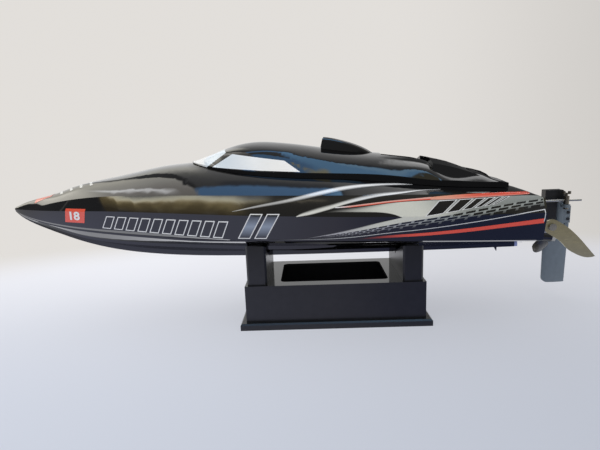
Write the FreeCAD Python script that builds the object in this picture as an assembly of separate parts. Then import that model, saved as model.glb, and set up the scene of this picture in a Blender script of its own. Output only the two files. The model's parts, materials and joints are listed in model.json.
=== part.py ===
import FreeCAD, Part
import math
import os

# Radio-controlled mono-hull speedboat on its display stand, in millimetres.
# +X runs aft, +Y to starboard and +Z up. The origin lies on the table under the middle of the stand.

# ---------------------------------------------------------------- driving dimensions: hull
hull_length = 420.0            # bow tip to transom
transom_x = 152.7              # transom behind the middle of the stand
keel_height = 51.3             # lowest line of the keel above the table
half_beam = 57.0               # widest half-breadth, at the knuckle
transom_half = half_beam - 4.5 # half-breadth of the knuckle at the transom
nose_half = 1.6                # half-breadth of the blunt bow tip
widest_at = 0.66               # share of the length at which the hull is widest
fullness = 2.1                 # exponent of the waterline's curve
shell_wall = 2.0               # moulded wall of hull and deck
transom_wall = 2.6             # moulded transom
keel_half = 1.6                # half the width of the keel ridge
deck_round = 2.2               # exponent of the crowned deck

# ---------------------------------------------------------------- driving dimensions: hatch
hatch_length = 245.0           # canopy's front tip to its tail
hatch_tail_gap = 20.7          # canopy's tail to the transom
hatch_half = 0.614 * half_beam # widest half-breadth of the canopy
hatch_taper = 0.046 * hatch_half   # narrowing towards the tail, each side
hatch_nose = 110.0             # length over which the front rounds out
hatch_wall = 1.6               # canopy wall
seam_gap = 0.3                 # clearance between bodies that part
coaming_inset = 4.2            # canopy's outer edge to the coaming
coaming_wall = 1.5
coaming_rise = 5.0             # coaming above the deck
gasket_wide = 1.5
gasket_thick = 1.2
scoop_wall = 1.2
scoop_front = transom_x - 161.3    # foot of the scoop's mouth
scoop_length = 47.0
scoop_half = 9.5
trough_half = 0.32 * hatch_half    # half-width of the trough in the rear roof
trough_depth = 3.4
trough_front = transom_x - 112.7
trough_rear = transom_x - 74.7
cover_front = transom_x - 76.2     # front face of the two engine covers
cover_length = 36.0
cover_inner = 0.4 * hatch_half
cover_outer = 0.81 * hatch_half
cover_height = keel_height + 75.1  # outer top edge of the covers' front face
fairing_half = 8.0             # centre fairing behind the trough
magnet_radius = 3.0
magnet_thick = 1.6
magnet_front_share = 0.42
magnet_rear_share = 0.66

# ---------------------------------------------------------------- driving dimensions: stand
stand_length = 142.9
stand_width = 70.9
stand_deck = 35.2              # top of the stand's deck above the table
stand_wall = 2.6
flange_out = 4.5
flange_thick = 5.4
slot_length = 87.0
slot_width = 52.0
slot_corner = 4.0
cradle_length = 15.9
cradle_inset = 2.0
cradle_wall = 2.4
pad_thick = 1.5
pad_length = 10.0
base_plate_thick = 1.6
cradle_rib = 5.0
cradle_screw_y = 22.0
cradle_screw_radius = 1.2
cradle_screw_bite = 9.0
pad_inner = 8.0                # pads start this far from the keel

# ---------------------------------------------------------------- driving dimensions: drive line
shaft_tilt = 5.5               # degrees, bow end up
shaft_height = keel_height + 11.2  # shaft line at the transom's outer face
shaft_radius = 2.0
run_gap = 0.05                 # radial running clearance
tube_wall = 0.6
bush_wall = 0.6
bush_length = 9.0
tube_front = -76.0             # along the shaft line from the transom, aft positive
tube_rear = 13.0
strut_radius = 4.6
strut_flange = 2.4
dog_length = 3.6
dog_radius = 3.7
prop_hub_radius = 4.6
prop_hub_length = 12.0
prop_radius = 13.4
prop_pitch = 95.0
prop_sweep = 0.2               # forward sweep of the blade tip, as a share of the radius
prop_turn = 2.0                # degrees, rest angle of the first blade from straight down
nut_length = 3.6
nut_flat = 7.0
coupler_length = 18.0
coupler_radius = 4.5
coupler_rear = -84.0
motor_rear = -112.0            # motor's output face
motor_length = 45.0
motor_radius = 12.0
can_wall = 1.4
bell_thick = 3.2
motor_shaft_radius = 1.6
rotor_radius = 8.0
air_gap = 0.4
bearing_radius = 4.0
jacket_wall = 2.0
jacket_length = 28.0
mount_thick = 3.0
mount_half = 17.0
screw_radius = 1.5
screw_head = 2.7
motor_screw_circle = 8.0       # radius of the motor's screw circle

# ---------------------------------------------------------------- driving dimensions: steering
rudder_y = 20.0                # rudder's pivot to starboard of the keel
rudder_aft = 47.3              # rudder's pivot behind the transom
pivot_radius = 1.5
sleeve_radius = 3.8
arm_radius = 9.0               # tiller and servo horn, pivot to pushrod
rod_radius = 0.9
rod_height = keel_height + 36.5
rod_tail = 12.6                # pushrod beyond the rudder's pivot
linkage_pin = 1.0
slot_play = 0.35
lug_top = rod_height + 8.4
lug_low = keel_height + 9.7
lug_thick = 7.8
low_lug_thick = 5.0
spine_half = 3.5
blade_bottom = keel_height - 38.3
blade_thick = 4.0
blade_front = 13.2             # blade's leading edge ahead of the pivot
blade_back = 7.8
tiller_thick = 2.6
servo_ahead = 60.7             # servo's output shaft ahead of the transom
servo_length = 23.0
servo_height = 12.6
servo_depth = 22.0
servo_ear = 4.5
horn_thick = 2.0

# ---------------------------------------------------------------- driving dimensions: turn fins
fin_y = 45.0
fin_thick = 1.2
fin_bracket_wide = 3.0
fin_screw_x = 7.3              # screw behind the transom
fin_screw_z = keel_height + 26.5
fin_bracket_inner = 30.0       # brackets reach in to this distance from the keel
fin_head = 5.6

# ---------------------------------------------------------------- driving dimensions: small fittings
small_screw = 1.0
small_head = 2.0
strut_half = 10.0              # half the strut's square flange
strut_screw = 7.4              # screws off the keel line
strut_screw_rows = (-0.8, 6.8) # above the shaft line
outlet_y = -22.0
outlet_z = keel_height + 31.0
drain_y = -20.0
drain_z = keel_height + 17.0
drain_radius = 3.6
pickup_ahead = 16.0            # water pickup ahead of the transom

# ---------------------------------------------------------------- driving dimensions: radio gear
battery_length = 88.0
battery_width = 30.0
battery_height = 24.0
battery_front = transom_x - 256.7
tray_height = keel_height + 18.7    # top of the battery tray's floor
tray_thick = 2.0
strap_wide = 12.0
strap_thick = 0.8
esc_front = transom_x - 90.7
esc_length = 46.0
esc_width = 26.0
esc_height = 14.0
gear_floor = keel_height + 20.7    # underside of speed controller and receiver
receiver_length = 28.0
receiver_width = 20.0
receiver_height = 12.0

V = FreeCAD.Vector
X_AXIS, Y_AXIS, Z_AXIS = V(1, 0, 0), V(0, 1, 0), V(0, 0, 1)
bow_x = transom_x - hull_length
hatch_rear = transom_x - hatch_tail_gap
hatch_front = hatch_rear - hatch_length


# ---------------------------------------------------------------- helpers
def smooth(points):
    """A smooth line through hand-set (position, value) points, with no overshoot."""
    xs = [p[0] for p in points]
    ys = [p[1] for p in points]
    rise = [(ys[i + 1] - ys[i]) / (xs[i + 1] - xs[i]) for i in range(len(xs) - 1)]
    slope = [rise[0]]
    for a, b in zip(rise, rise[1:]):
        slope.append(0.0 if a * b <= 0 else 2 * a * b / (a + b))
    slope.append(rise[-1])

    def value(x):
        x = min(max(x, xs[0]), xs[-1])
        i = max(k for k in range(len(xs) - 1) if xs[k] <= x)
        span = xs[i + 1] - xs[i]
        s = (x - xs[i]) / span
        return (ys[i] * (1 + 2 * s) * (1 - s) ** 2 + ys[i + 1] * s * s * (3 - 2 * s)
                + span * (slope[i] * s * (1 - s) ** 2 - slope[i + 1] * s * s * (1 - s)))
    return value


def box(x0, x1, y0, y1, z0, z1):
    return Part.makeBox(x1 - x0, y1 - y0, z1 - z0, V(x0, y0, z0))


def cylinder(radius, start, end):
    """A round bar between two points."""
    line = V(*end) - V(*start)
    return Part.makeCylinder(radius, line.Length, V(*start), line)


def tube(outer, inner, start, end):
    return cylinder(outer, start, end).cut(cylinder(inner, start, end))


def plate_xz(points, y0, y1):
    """A plate with its outline in the XZ plane, between two Y values."""
    wire = Part.makePolygon([V(x, y0, z) for x, z in points + points[:1]])
    return Part.Face(wire).extrude(V(0, y1 - y0, 0))


def moved(shape, x=0.0, y=0.0, z=0.0):
    copy = shape.copy()
    copy.translate(V(x, y, z))
    return copy


def mirrored(shape):
    """The same piece on the other side of the keel."""
    return shape.mirror(V(0, 0, 0), Y_AXIS)


def group(shapes):
    return Part.makeCompound(shapes)


def export(name, shape):
    shape.exportStep("parts/" + name + ".step")


# ---------------------------------------------------------------- hull lines
# Positions are shares of the hull's length from the bow; heights are above the keel's lowest line.
keel_line = smooth([(0, 45.0), (0.03, 35.2), (0.07, 27.8), (0.115, 20.0), (0.165, 13.2), (0.22, 8.2),
                    (0.27, 5.2), (0.35, 2.3), (0.46, 0.6), (0.62, 0.0), (0.82, 0.2), (1, 1.0)])
ridge_depth = smooth([(0, 0.4), (0.1, 4.0), (0.3, 4.3), (0.6, 3.3), (1, 3.0)])
chine_line = smooth([(0, 46.3), (0.03, 41.2), (0.075, 37.3), (0.13, 34.4), (0.2, 32.4), (0.28, 30.9),
                     (0.36, 28.4), (0.44, 25.4), (0.52, 23.8), (0.66, 22.3), (0.8, 20.4), (1, 17.5)])
knuckle_line = smooth([(0, 47.2), (0.07, 46.9), (0.14, 47.2), (0.21, 47.6), (0.33, 46.6),
                       (0.45, 44.5), (0.6, 42.2), (0.75, 39.9), (1, 38.5)])
sheer_line = smooth([(0, 48.0), (0.05, 49.4), (0.085, 52.2), (0.125, 55.1), (0.165, 57.0), (0.205, 58.5),
                     (0.29, 59.1), (0.4, 58.7), (0.58, 57.0), (0.75, 55.0), (0.9, 53.8), (0.965, 52.6),
                     (1, 48.2)])
crown_line = smooth([(0, 48.6), (0.034, 54.0), (0.075, 57.7), (0.13, 64.7), (0.155, 67.4), (0.208, 71.0),
                     (0.286, 77.0), (0.35, 81.0), (0.4, 80.4), (0.48, 79.1), (0.56, 76.2), (0.665, 72.0),
                     (0.72, 69.3), (0.78, 63.7), (0.81, 60.6), (0.94, 56.5), (0.97, 54.6), (1, 49.5)])
chine_flare = smooth([(0, 0.5), (0.1, 2.5), (0.3, 4.0), (0.6, 4.8), (1, 4.2)])
sheer_fall = smooth([(0, 0.4), (0.1, 3.0), (0.3, 5.0), (1, 5.0)])
rail_share = smooth([(0, 0.87), (0.4, 0.87), (0.6, 0.93), (1, 0.94)])
rail_drop = smooth([(0, 0.5), (0.08, 1.6), (0.2, 2.9), (0.3, 3.8), (0.36, 3.6), (0.47, 1.9), (1, 1.3)])
rail_step = smooth([(0, 0.1), (0.08, 1.2), (0.35, 1.6), (0.5, 0.3), (1, 0.2)])
strake_share = 0.5
strake_rise = smooth([(0, 0.33), (0.11, 0.33), (0.2, 0.39), (0.3, 0.44), (0.47, 0.51), (1, 0.52)])
strake_step = smooth([(0, 0.15), (0.1, 2.0), (0.3, 2.8), (0.55, 3.0), (0.72, 0.25), (1, 0.25)])
strake_lip = 0.8
stations = [0, 0.025, 0.055, 0.09, 0.13, 0.18, 0.24, 0.31, 0.39, 0.48, 0.58, 0.68, 0.78, 0.87, 0.94, 0.975, 1]
cavity_start = 0.12            # the bow ahead of this share is solid
cavity_end = 1 - transom_wall / hull_length


def at_x(x):
    """A place along the hull as a share of its length."""
    return (x - bow_x) / hull_length


def along(share):
    return bow_x + share * hull_length


def half_breadth(t):
    """Half-breadth of the knuckle."""
    if t < widest_at:
        return nose_half + (half_beam - nose_half) * (1 - (1 - t / widest_at) ** fullness)
    return half_beam - (half_beam - transom_half) * ((t - widest_at) / (1 - widest_at)) ** 2


def chine_half(t):
    return half_breadth(t) - chine_flare(t)


def sheer_half(t):
    return half_breadth(t) - sheer_fall(t)


def keel_half_at(t):
    return keel_half * min(1.0, 0.3 + 7 * t)


def deck_z(t, y):
    """Height of the crowned deck above the table."""
    edge, top = sheer_line(t), crown_line(t)
    share = min(abs(y) / sheer_half(t), 1.0)
    return keel_height + edge + (top - edge) * (1 - share ** deck_round)


def bottom_points(t):
    """Starboard half of the bottom, from the knuckle down to the keel, as (y, z)."""
    chine_y, chine_z = chine_half(t), chine_line(t)
    root_z = keel_line(t) + ridge_depth(t)
    rail_y, rail_z = rail_share(t) * chine_y, chine_z - rail_drop(t)
    strake_y = strake_share * chine_y
    strake_z = root_z + strake_rise(t) * (chine_z - root_z)
    lip = min(strake_lip, 0.1 * chine_y)
    foot = keel_half_at(t)
    return [(half_breadth(t), knuckle_line(t)), (chine_y, chine_z), (rail_y, rail_z),
            (rail_y - 0.3 * lip, rail_z - rail_step(t)), (strake_y + lip, strake_z),
            (strake_y, strake_z - strake_step(t)), (foot + 0.3, root_z), (foot, keel_line(t))]


def cavity_points(t):
    chine_y = chine_half(t) - shell_wall
    return [(half_breadth(t) - shell_wall, knuckle_line(t) + 1.0), (chine_y, chine_line(t) + 0.4 * shell_wall),
            (keel_half + 1.6, keel_line(t) + ridge_depth(t) + 1.3 * shell_wall)]


def polygon_section(t, half):
    points = [(y, z) for y, z in half] + [(-y, z) for y, z in reversed(half)]
    return Part.makePolygon([V(along(t), y, keel_height + z) for y, z in points + points[:1]])


def arch(points):
    """One smooth edge over (x, y, z) points."""
    curve = Part.BSplineCurve()
    curve.interpolate([V(*p) for p in points])
    return curve.toShape()


def deck_section(t, inset=0.0):
    """Closed section of the deck: knuckle, side, crown, side."""
    x = along(t)
    low = keel_height + knuckle_line(t) - (1.0 if inset else 0.0)
    knuckle_y, edge_y = half_breadth(t) - inset, sheer_half(t) - inset
    edge_z = deck_z(t, sheer_half(t)) - 0.5 * inset
    rise = deck_z(t, 0) - 1.1 * inset - edge_z
    shares = [1, 0.86, 0.65, 0.35, 0, -0.35, -0.65, -0.86, -1]
    crown = [(x, s * edge_y, edge_z + rise * (1 - abs(s) ** deck_round)) for s in shares]
    edges = [Part.makeLine(V(x, -knuckle_y, low), V(x, knuckle_y, low)),
             Part.makeLine(V(x, knuckle_y, low), V(*crown[0])), arch(crown),
             Part.makeLine(V(*crown[-1]), V(x, -knuckle_y, low))]
    return Part.Wire(edges)


def cavity_stations():
    inner = [t for t in stations if cavity_start + 0.02 < t < cavity_end - 0.01]
    return [cavity_start] + inner + [cavity_end]


def make_hull_solids():
    """Outer and inner solids of hull and deck."""
    hull_outer = Part.makeLoft([polygon_section(t, bottom_points(t)) for t in stations], True)
    deck_outer = Part.makeLoft([deck_section(t) for t in stations], True)
    hull_inner = Part.makeLoft([polygon_section(t, cavity_points(t)) for t in cavity_stations()], True)
    deck_inner = Part.makeLoft([deck_section(t, shell_wall) for t in cavity_stations()], True)
    return hull_outer, deck_outer, hull_inner, deck_inner


# ---------------------------------------------------------------- hatch lines
# Positions are shares of the canopy's length from its front tip; heights are above the keel's line.
shoulder_half = smooth([(0, 0.35), (0.05, 0.5), (0.11, 0.7), (0.16, 0.72), (0.22, 0.77), (0.3, 0.8),
                        (0.45, 0.8), (0.65, 0.8), (0.77, 0.86), (1, 0.89)])
shoulder_line = smooth([(0, 81.0), (0.03, 82.6), (0.06, 84.6), (0.11, 87.3), (0.16, 88.6), (0.22, 88.2),
                        (0.29, 85.9), (0.37, 82.7), (0.43, 80.8), (0.54, 78.2), (0.645, 75.4), (0.705, 73.2),
                        (0.765, 70.2), (0.8, 66.8), (0.85, 64.6), (0.95, 62.0), (1, 58.8)])
roof_line = smooth([(0, 81.2), (0.03, 83.6), (0.06, 86.0), (0.11, 90.4), (0.16, 94.0), (0.225, 95.6),
                    (0.29, 94.5), (0.37, 91.9), (0.43, 89.4), (0.54, 85.4), (0.645, 82.4), (0.705, 80.3),
                    (0.735, 79.0), (0.765, 77.2), (0.8, 70.6), (0.87, 66.2), (0.95, 63.4), (1, 60.2)])
hatch_stations = [0.003, 0.02, 0.05, 0.09, 0.13, 0.17, 0.23, 0.3, 0.38, 0.46, 0.56, 0.64, 0.705, 0.765, 0.8, 0.87,
                  0.95, 1]
lip_line = smooth([(0, 0.8), (0.06, 2.2), (0.22, 3.4), (0.37, 4.4), (0.7, 5.2), (1, 4.2)])


def seam_half(share):
    """Half-breadth of the canopy's lower edge."""
    s = min(share * hatch_length / hatch_nose, 1.0)
    nose = (1 - (1 - s) ** 2.6) ** 0.526
    return nose * (hatch_half - hatch_taper * max(0.0, share - 0.5) * 2)


def hatch_x(share):
    return hatch_front + share * hatch_length


def seam_z(share):
    """The deck's height at the canopy's lower edge."""
    return deck_z(at_x(hatch_x(share)), seam_half(share))


def canopy_section(share, inset=0.0):
    x = hatch_x(share) + (inset if share < 0.01 else 0.0) - (inset if share > 0.99 else 0.0)
    half = max(seam_half(share) - inset, 0.4)
    seam = seam_z(share)
    lip_z = seam + lip_line(share) - 0.3 * inset
    top = max(keel_height + roof_line(share), seam + 0.4) - inset
    side_y = max(shoulder_half(share) * seam_half(share) - 0.9 * inset, 0.25)
    side_z = max(keel_height + shoulder_line(share) - 0.9 * inset, lip_z + 0.1)
    top = max(top, side_z + 0.1)
    quarter = [(half, lip_z), (0.45 * side_y + 0.55 * half + 0.012 * half, 0.56 * lip_z + 0.44 * side_z),
               (side_y, side_z), (0.52 * side_y, side_z + 0.76 * (top - side_z)), (0, top)]
    crown = [(x, y, z) for y, z in quarter] + [(x, -y, z) for y, z in reversed(quarter[:-1])]
    low = seam - 6.0
    edges = [Part.makeLine(V(x, -half, low), V(x, half, low)), Part.makeLine(V(x, half, low), V(*crown[0])),
             arch(crown), Part.makeLine(V(*crown[-1]), V(x, -half, low))]
    return Part.Wire(edges)


def hatch_outline(inset, z0, z1):
    """A prism over the canopy's plan, drawn in by inset all round."""
    shares = [0.004, 0.012, 0.03, 0.06, 0.1, 0.16, 0.24, 0.34, 0.5, 0.75, 1]
    side = []
    for share in shares:
        x, y = hatch_x(share), seam_half(share)
        lean = (seam_half(share + 0.002) - seam_half(share - 0.002)) / (0.004 * hatch_length) if share < 1 else 0.0
        size = math.hypot(1, lean)
        side.append((x + inset * lean / size, y - inset / size))
    side = [(x, y) for x, y in side if y > 0.5]
    side[-1] = (hatch_rear - inset, side[-1][1])
    port = arch([(x, -y, z0) for x, y in side])
    starboard = arch([(x, y, z0) for x, y in side])
    (xf, yf), (xr, yr) = side[0], side[-1]
    front = Part.makeLine(V(xf, -yf, z0), V(xf, yf, z0))
    rear = Part.makeLine(V(xr, -yr, z0), V(xr, yr, z0))
    wire = Part.Wire([port, rear, starboard, front])
    return Part.Face(wire).extrude(V(0, 0, z1 - z0))


def band(inner_inset, outer_inset, z0, z1):
    return hatch_outline(outer_inset, z0, z1).cut(hatch_outline(inner_inset, z0 - 1, z1 + 1))


# ---------------------------------------------------------------- stand
def make_stand():
    half_l, half_w = stand_length / 2, stand_width / 2
    wall_box = box(-half_l, half_l, -half_w, half_w, 0, stand_deck)
    flange = box(-half_l - flange_out, half_l + flange_out, -half_w - flange_out, half_w + flange_out,
                 0, flange_thick)
    flange = flange.makeChamfer(1.2, [e for e in flange.Edges if e.BoundBox.ZMin > flange_thick - 0.01])
    hollow = box(-half_l + stand_wall, half_l - stand_wall, -half_w + stand_wall, half_w - stand_wall,
                 -1, stand_deck - stand_wall)
    slot = box(-slot_length / 2, slot_length / 2, -slot_width / 2, slot_width / 2, 0, stand_deck + 1)
    slot = slot.makeFillet(slot_corner, [e for e in slot.Edges if abs(e.BoundBox.ZLength) > 30])
    shell = wall_box.fuse(flange).cut(hollow).cut(slot).removeSplitter()
    for x, y in cradle_screw_places():
        shell = shell.cut(stand_screw(x, y))
    export("stand_box", shell)
    inset = stand_wall
    export("stand_base_plate", box(-half_l + inset, half_l - inset, -half_w + inset, half_w - inset,
                                   0, base_plate_thick))


def cradle_span(side):
    """Front and rear faces of one cradle; side is -1 at the bow end and 1 at the stern end."""
    outer = side * (stand_length / 2 - cradle_inset)
    inner = outer - side * cradle_length
    return min(outer, inner), max(outer, inner)


def stand_screw(x, y):
    """A screw from under the stand's deck up into a cradle's rib."""
    under = stand_deck - stand_wall
    tip = under + stand_wall + cradle_screw_bite
    head = cylinder(screw_head, (x, y, under - 2.0), (x, y, under))
    return head.fuse(cylinder(cradle_screw_radius, (x, y, under), (x, y, tip)))


def cradle_screw_places():
    places = []
    for side in (-1, 1):
        x0, x1 = cradle_span(side)
        places += [((x0 + x1) / 2, way * cradle_screw_y) for way in (-1, 1)]
    return places


def make_cradles(hull_outer):
    half_w = stand_width / 2 - cradle_inset
    high = keel_height + 24
    seat = moved(hull_outer, z=-seam_gap - pad_thick)
    roof = moved(hull_outer, z=-seam_gap - pad_thick - cradle_wall)
    screws = [stand_screw(x, y) for x, y in cradle_screw_places()]
    pads = []
    cradles = []
    for side in (-1, 1):
        x0, x1 = cradle_span(side)
        mid = (x0 + x1) / 2
        block = box(x0, x1, -half_w, half_w, stand_deck, high)
        block = block.makeChamfer(1.5, [e for e in block.Edges if e.BoundBox.ZLength > 20])
        hollow = box(x0 + cradle_wall, x1 - cradle_wall, -half_w + cradle_wall, half_w - cradle_wall,
                     stand_deck - 1, high)
        hollow = hollow.cut(box(mid - cradle_rib / 2, mid + cradle_rib / 2, -half_w, half_w, 0, high))
        cradle = block.cut(seat).cut(hollow.cut(roof))
        for screw in screws:
            cradle = cradle.cut(screw)
        cradles.append(cradle)
        for way in (-1, 1):
            y0, y1 = sorted((way * pad_inner, way * (half_w - 3)))
            strip = box(mid - pad_length / 2, mid + pad_length / 2, y0, y1, stand_deck, high)
            pads.append(strip.cut(moved(hull_outer, z=-seam_gap)).common(seat))
    export("stand_cradles", group(cradles))
    export("cradle_pads", group(pads))
    export("cradle_screws", group(screws))


# ---------------------------------------------------------------- hull and deck
def make_hull(hull_outer, hull_inner, cuts):
    shell = hull_outer.cut(hull_inner)
    for cut in cuts:
        shell = shell.cut(cut)
    export("hull_shell", shell)


def make_deck(deck_outer, deck_inner, hatch_room, cuts):
    """Deck moulding with its hatch opening and coaming; hatch_room is the space under the canopy."""
    low, high = keel_height + 20, keel_height + 110
    room = moved(hatch_room, z=-seam_gap - 0.2)
    bay = hatch_outline(coaming_inset + coaming_wall, low, high)
    coaming = band(coaming_inset + coaming_wall, coaming_inset, low, high)
    coaming = coaming.common(moved(deck_outer, z=coaming_rise)).cut(deck_inner).common(room)
    coaming = coaming.cut(box(bow_x, transom_x, -half_beam, half_beam, 0, keel_height + 46))
    shell = deck_outer.cut(deck_inner).fuse(coaming).cut(bay)
    for tab in magnet_tabs():
        shell = shell.fuse(tab)
    for cut in cuts:
        shell = shell.cut(cut)
    export("deck_shell", shell)
    seal_inner = coaming_inset - seam_gap
    seal = band(seal_inner, seal_inner - gasket_wide, low, high)
    export("hatch_gasket", seal.common(moved(deck_outer, z=gasket_thick)).cut(deck_outer).common(room))


def magnet_places():
    """Plan positions of the hatch magnets: one pair near the front, one pair near the tail."""
    places = []
    for share in (magnet_front_share, magnet_rear_share):
        y = seam_half(share) - coaming_inset - coaming_wall - magnet_radius - 0.4
        places += [(hatch_x(share), y, share), (hatch_x(share), -y, share)]
    return places


def magnet_level(share):
    """Top of the deck's magnet tabs, level with the coaming's top."""
    return deck_z(at_x(hatch_x(share)), seam_half(share) - coaming_inset - coaming_wall) + coaming_rise


def magnet_tabs():
    tabs = []
    for x, y, share in magnet_places():
        top = magnet_level(share) - magnet_thick
        reach = magnet_radius + 0.8
        y0, y1 = sorted((y - math.copysign(reach, y), y + math.copysign(reach + 0.2, y)))
        tabs.append(box(x - reach, x + reach, y0, y1, top - 2.0, top))
    return tabs


def make_deck_magnets():
    discs = []
    for x, y, share in magnet_places():
        top = magnet_level(share)
        discs.append(cylinder(magnet_radius, (x, y, top - magnet_thick), (x, y, top)))
    export("deck_magnets", group(discs))


# ---------------------------------------------------------------- canopy
def window_prisms():
    """Cutters for the windscreen and the two side windows, placed from the canopy's front tip."""
    def rel(points):
        return [(hatch_front + dx, keel_height + dz) for dx, dz in points]
    screen = plate_xz(rel([(1.2, 81.3), (15.3, 77.7), (31.0, 88.3), (26.4, 92.5), (3.0, 90.0)]), -60, 60)
    pane = rel([(20.2, 77.8), (36.4, 87.2), (77.0, 81.2), (89.0, 72.6), (60.0, 74.4), (36.0, 76.4)])
    return screen, plate_xz(pane, -60, -8), plate_xz(pane, 8, 60)


def trough_cutter(body, wall):
    """Everything above the trough's floor, between its side walls."""
    block = box(trough_front - wall, trough_rear + wall, -trough_half - wall, trough_half + wall,
                keel_height + 40, keel_height + 120)
    return block.cut(moved(body, z=-trough_depth - wall))


def make_canopy_solids():
    outer = Part.makeLoft([canopy_section(s) for s in hatch_stations], True)
    inner = Part.makeLoft([canopy_section(s, hatch_wall) for s in hatch_stations[1:]], True)
    outer_cut = outer.cut(trough_cutter(outer, 0.0))
    inner_cut = inner.cut(trough_cutter(outer, hatch_wall))
    return outer_cut, inner_cut


def make_canopy(deck_outer, outer_cut, inner_cut):
    seat = moved(deck_outer, z=seam_gap)
    body = outer_cut.cut(inner_cut).cut(seat)
    screen, port, starboard = window_prisms()
    export("windshield", body.common(screen))
    export("side_windows", group([body.common(port), body.common(starboard)]))
    shell = body.cut(screen).cut(port).cut(starboard)
    tabs, discs = canopy_magnet_mounts(inner_cut)
    for tab in tabs:
        shell = shell.fuse(tab)
    export("canopy_shell", shell)
    export("canopy_magnets", group(discs))
    make_scoop(outer_cut)
    make_covers(outer_cut)


def canopy_magnet_mounts(inner):
    """Shelves from the canopy's side walls, each with a magnet under it."""
    tabs = []
    discs = []
    for x, y, share in magnet_places():
        level = magnet_level(share) + seam_gap
        reach = magnet_radius + 0.8
        y0, y1 = sorted((y - math.copysign(reach, y), math.copysign(seam_half(share) + 2, y)))
        shelf = box(x - reach, x + reach, y0, y1, level + magnet_thick, level + magnet_thick + 2.0)
        tabs.append(shelf.common(inner))
        discs.append(cylinder(magnet_radius, (x, y, level), (x, y, level + magnet_thick)))
    return tabs, discs


def scoop_section(x, half, low, top, corner):
    corner = min(corner, 0.45 * (top - low), 0.8 * half)
    mid = corner * (1 - math.sqrt(0.5))
    edges = [Part.makeLine(V(x, -half, low), V(x, half, low)),
             Part.makeLine(V(x, half, low), V(x, half, top - corner)),
             Part.Arc(V(x, half, top - corner), V(x, half - mid, top - mid), V(x, half - corner, top)).toShape(),
             Part.makeLine(V(x, half - corner, top), V(x, -half + corner, top)),
             Part.Arc(V(x, -half + corner, top), V(x, -half + mid, top - mid),
                      V(x, -half, top - corner)).toShape(),
             Part.makeLine(V(x, -half, top - corner), V(x, -half, low))]
    return Part.Wire(edges)


def make_scoop(roof):
    """The air scoop on the roof: an open mouth at the front, its back running down into the roof."""
    top_line = smooth([(0, 97.8), (0.2, 96.6), (0.42, 94.0), (0.58, 91.5), (0.75, 88.0), (0.9, 83.8), (1, 79.6)])
    width = smooth([(0, 1.0), (0.5, 0.94), (1, 0.72)])
    outer = []
    inner = []
    for share in (0, 0.2, 0.4, 0.6, 0.8, 1):
        x = scoop_front + share * scoop_length
        low = keel_height + 74 - 6 * share
        top = keel_height + top_line(share)
        outer.append(scoop_section(x, width(share) * scoop_half, low, top, 3.2))
        inner.append(scoop_section(x, width(share) * scoop_half - scoop_wall, low - 2,
                                   top - scoop_wall, 2.2))
    body = Part.makeLoft(outer, True).cut(Part.makeLoft(inner[:4], True))
    rake = plate_xz([(scoop_front - 8, keel_height + 110), (scoop_front - 8, keel_height + 60),
                     (scoop_front - 6.0, keel_height + 60), (scoop_front + 3.5, keel_height + 98.5),
                     (scoop_front + 3.5, keel_height + 110)], -20, 20)
    export("roof_scoop", body.cut(rake).cut(roof))


def cover_section(dx, outer_top, inner_rise):
    """Section of one cover, dx behind its front; the top rises towards the keel by inner_rise."""
    x, top = cover_front + dx, cover_height + outer_top
    low = keel_height + 55
    points = [(cover_inner, low), (cover_inner, top + inner_rise), (cover_outer, top),
              (cover_outer + 0.25 * (top - low), low)]
    return Part.makePolygon([V(x, y, z) for y, z in points + points[:1]])


def make_covers(roof):
    """Two engine covers aft of the trough and the low fairing between them."""
    rows = [(0, 0, 3.7), (6.0, -1.2, 3.6), (13.5, -3.0, 3.4), (21.0, -5.2, 2.8), (28.5, -7.7, 2.2),
            (cover_length, -10.8, 1.2), (cover_length + 5.0, -12.6, 0.6)]
    cover = Part.makeLoft([cover_section(*row) for row in rows], True, True).cut(roof)
    export("engine_covers", group([cover, mirrored(cover)]))
    tail = plate_xz([(cover_front + 13, keel_height + 60), (cover_front + 13, keel_height + 71.5),
                     (cover_front + 24, keel_height + 70.4), (cover_front + 36, keel_height + 68.2),
                     (cover_front + 43, keel_height + 66.2), (cover_front + 48, keel_height + 63.6),
                     (cover_front + 52, keel_height + 60.0), (cover_front + 52, keel_height + 56)],
                    -fairing_half, fairing_half)
    export("tail_fairing", tail.cut(roof))


# ---------------------------------------------------------------- drive line
tilt = math.radians(shaft_tilt)
shaft_dir = V(math.cos(tilt), 0, -math.sin(tilt))


def on_shaft(s, up=0.0, side=0.0):
    """A point s aft of the transom along the shaft line, raised square to it by up."""
    p = V(transom_x, side, shaft_height) + shaft_dir * s + V(math.sin(tilt), 0, math.cos(tilt)) * up
    return p.x, p.y, p.z


def bar(radius, s0, s1):
    return cylinder(radius, on_shaft(s0), on_shaft(s1))


def ring(outer, inner, s0, s1):
    return bar(outer, s0, s1).cut(bar(inner, s0 - 1, s1 + 1))


bore = shaft_radius + run_gap
bush_outer = bore + bush_wall
tube_outer = bush_outer + tube_wall
can_inner = motor_radius - can_wall
motor_front = motor_rear - motor_length
dog_front = tube_rear + 1.5
prop_front = dog_front + dog_length
prop_rear = prop_front + prop_hub_length
coupler_front = coupler_rear - coupler_length


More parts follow.
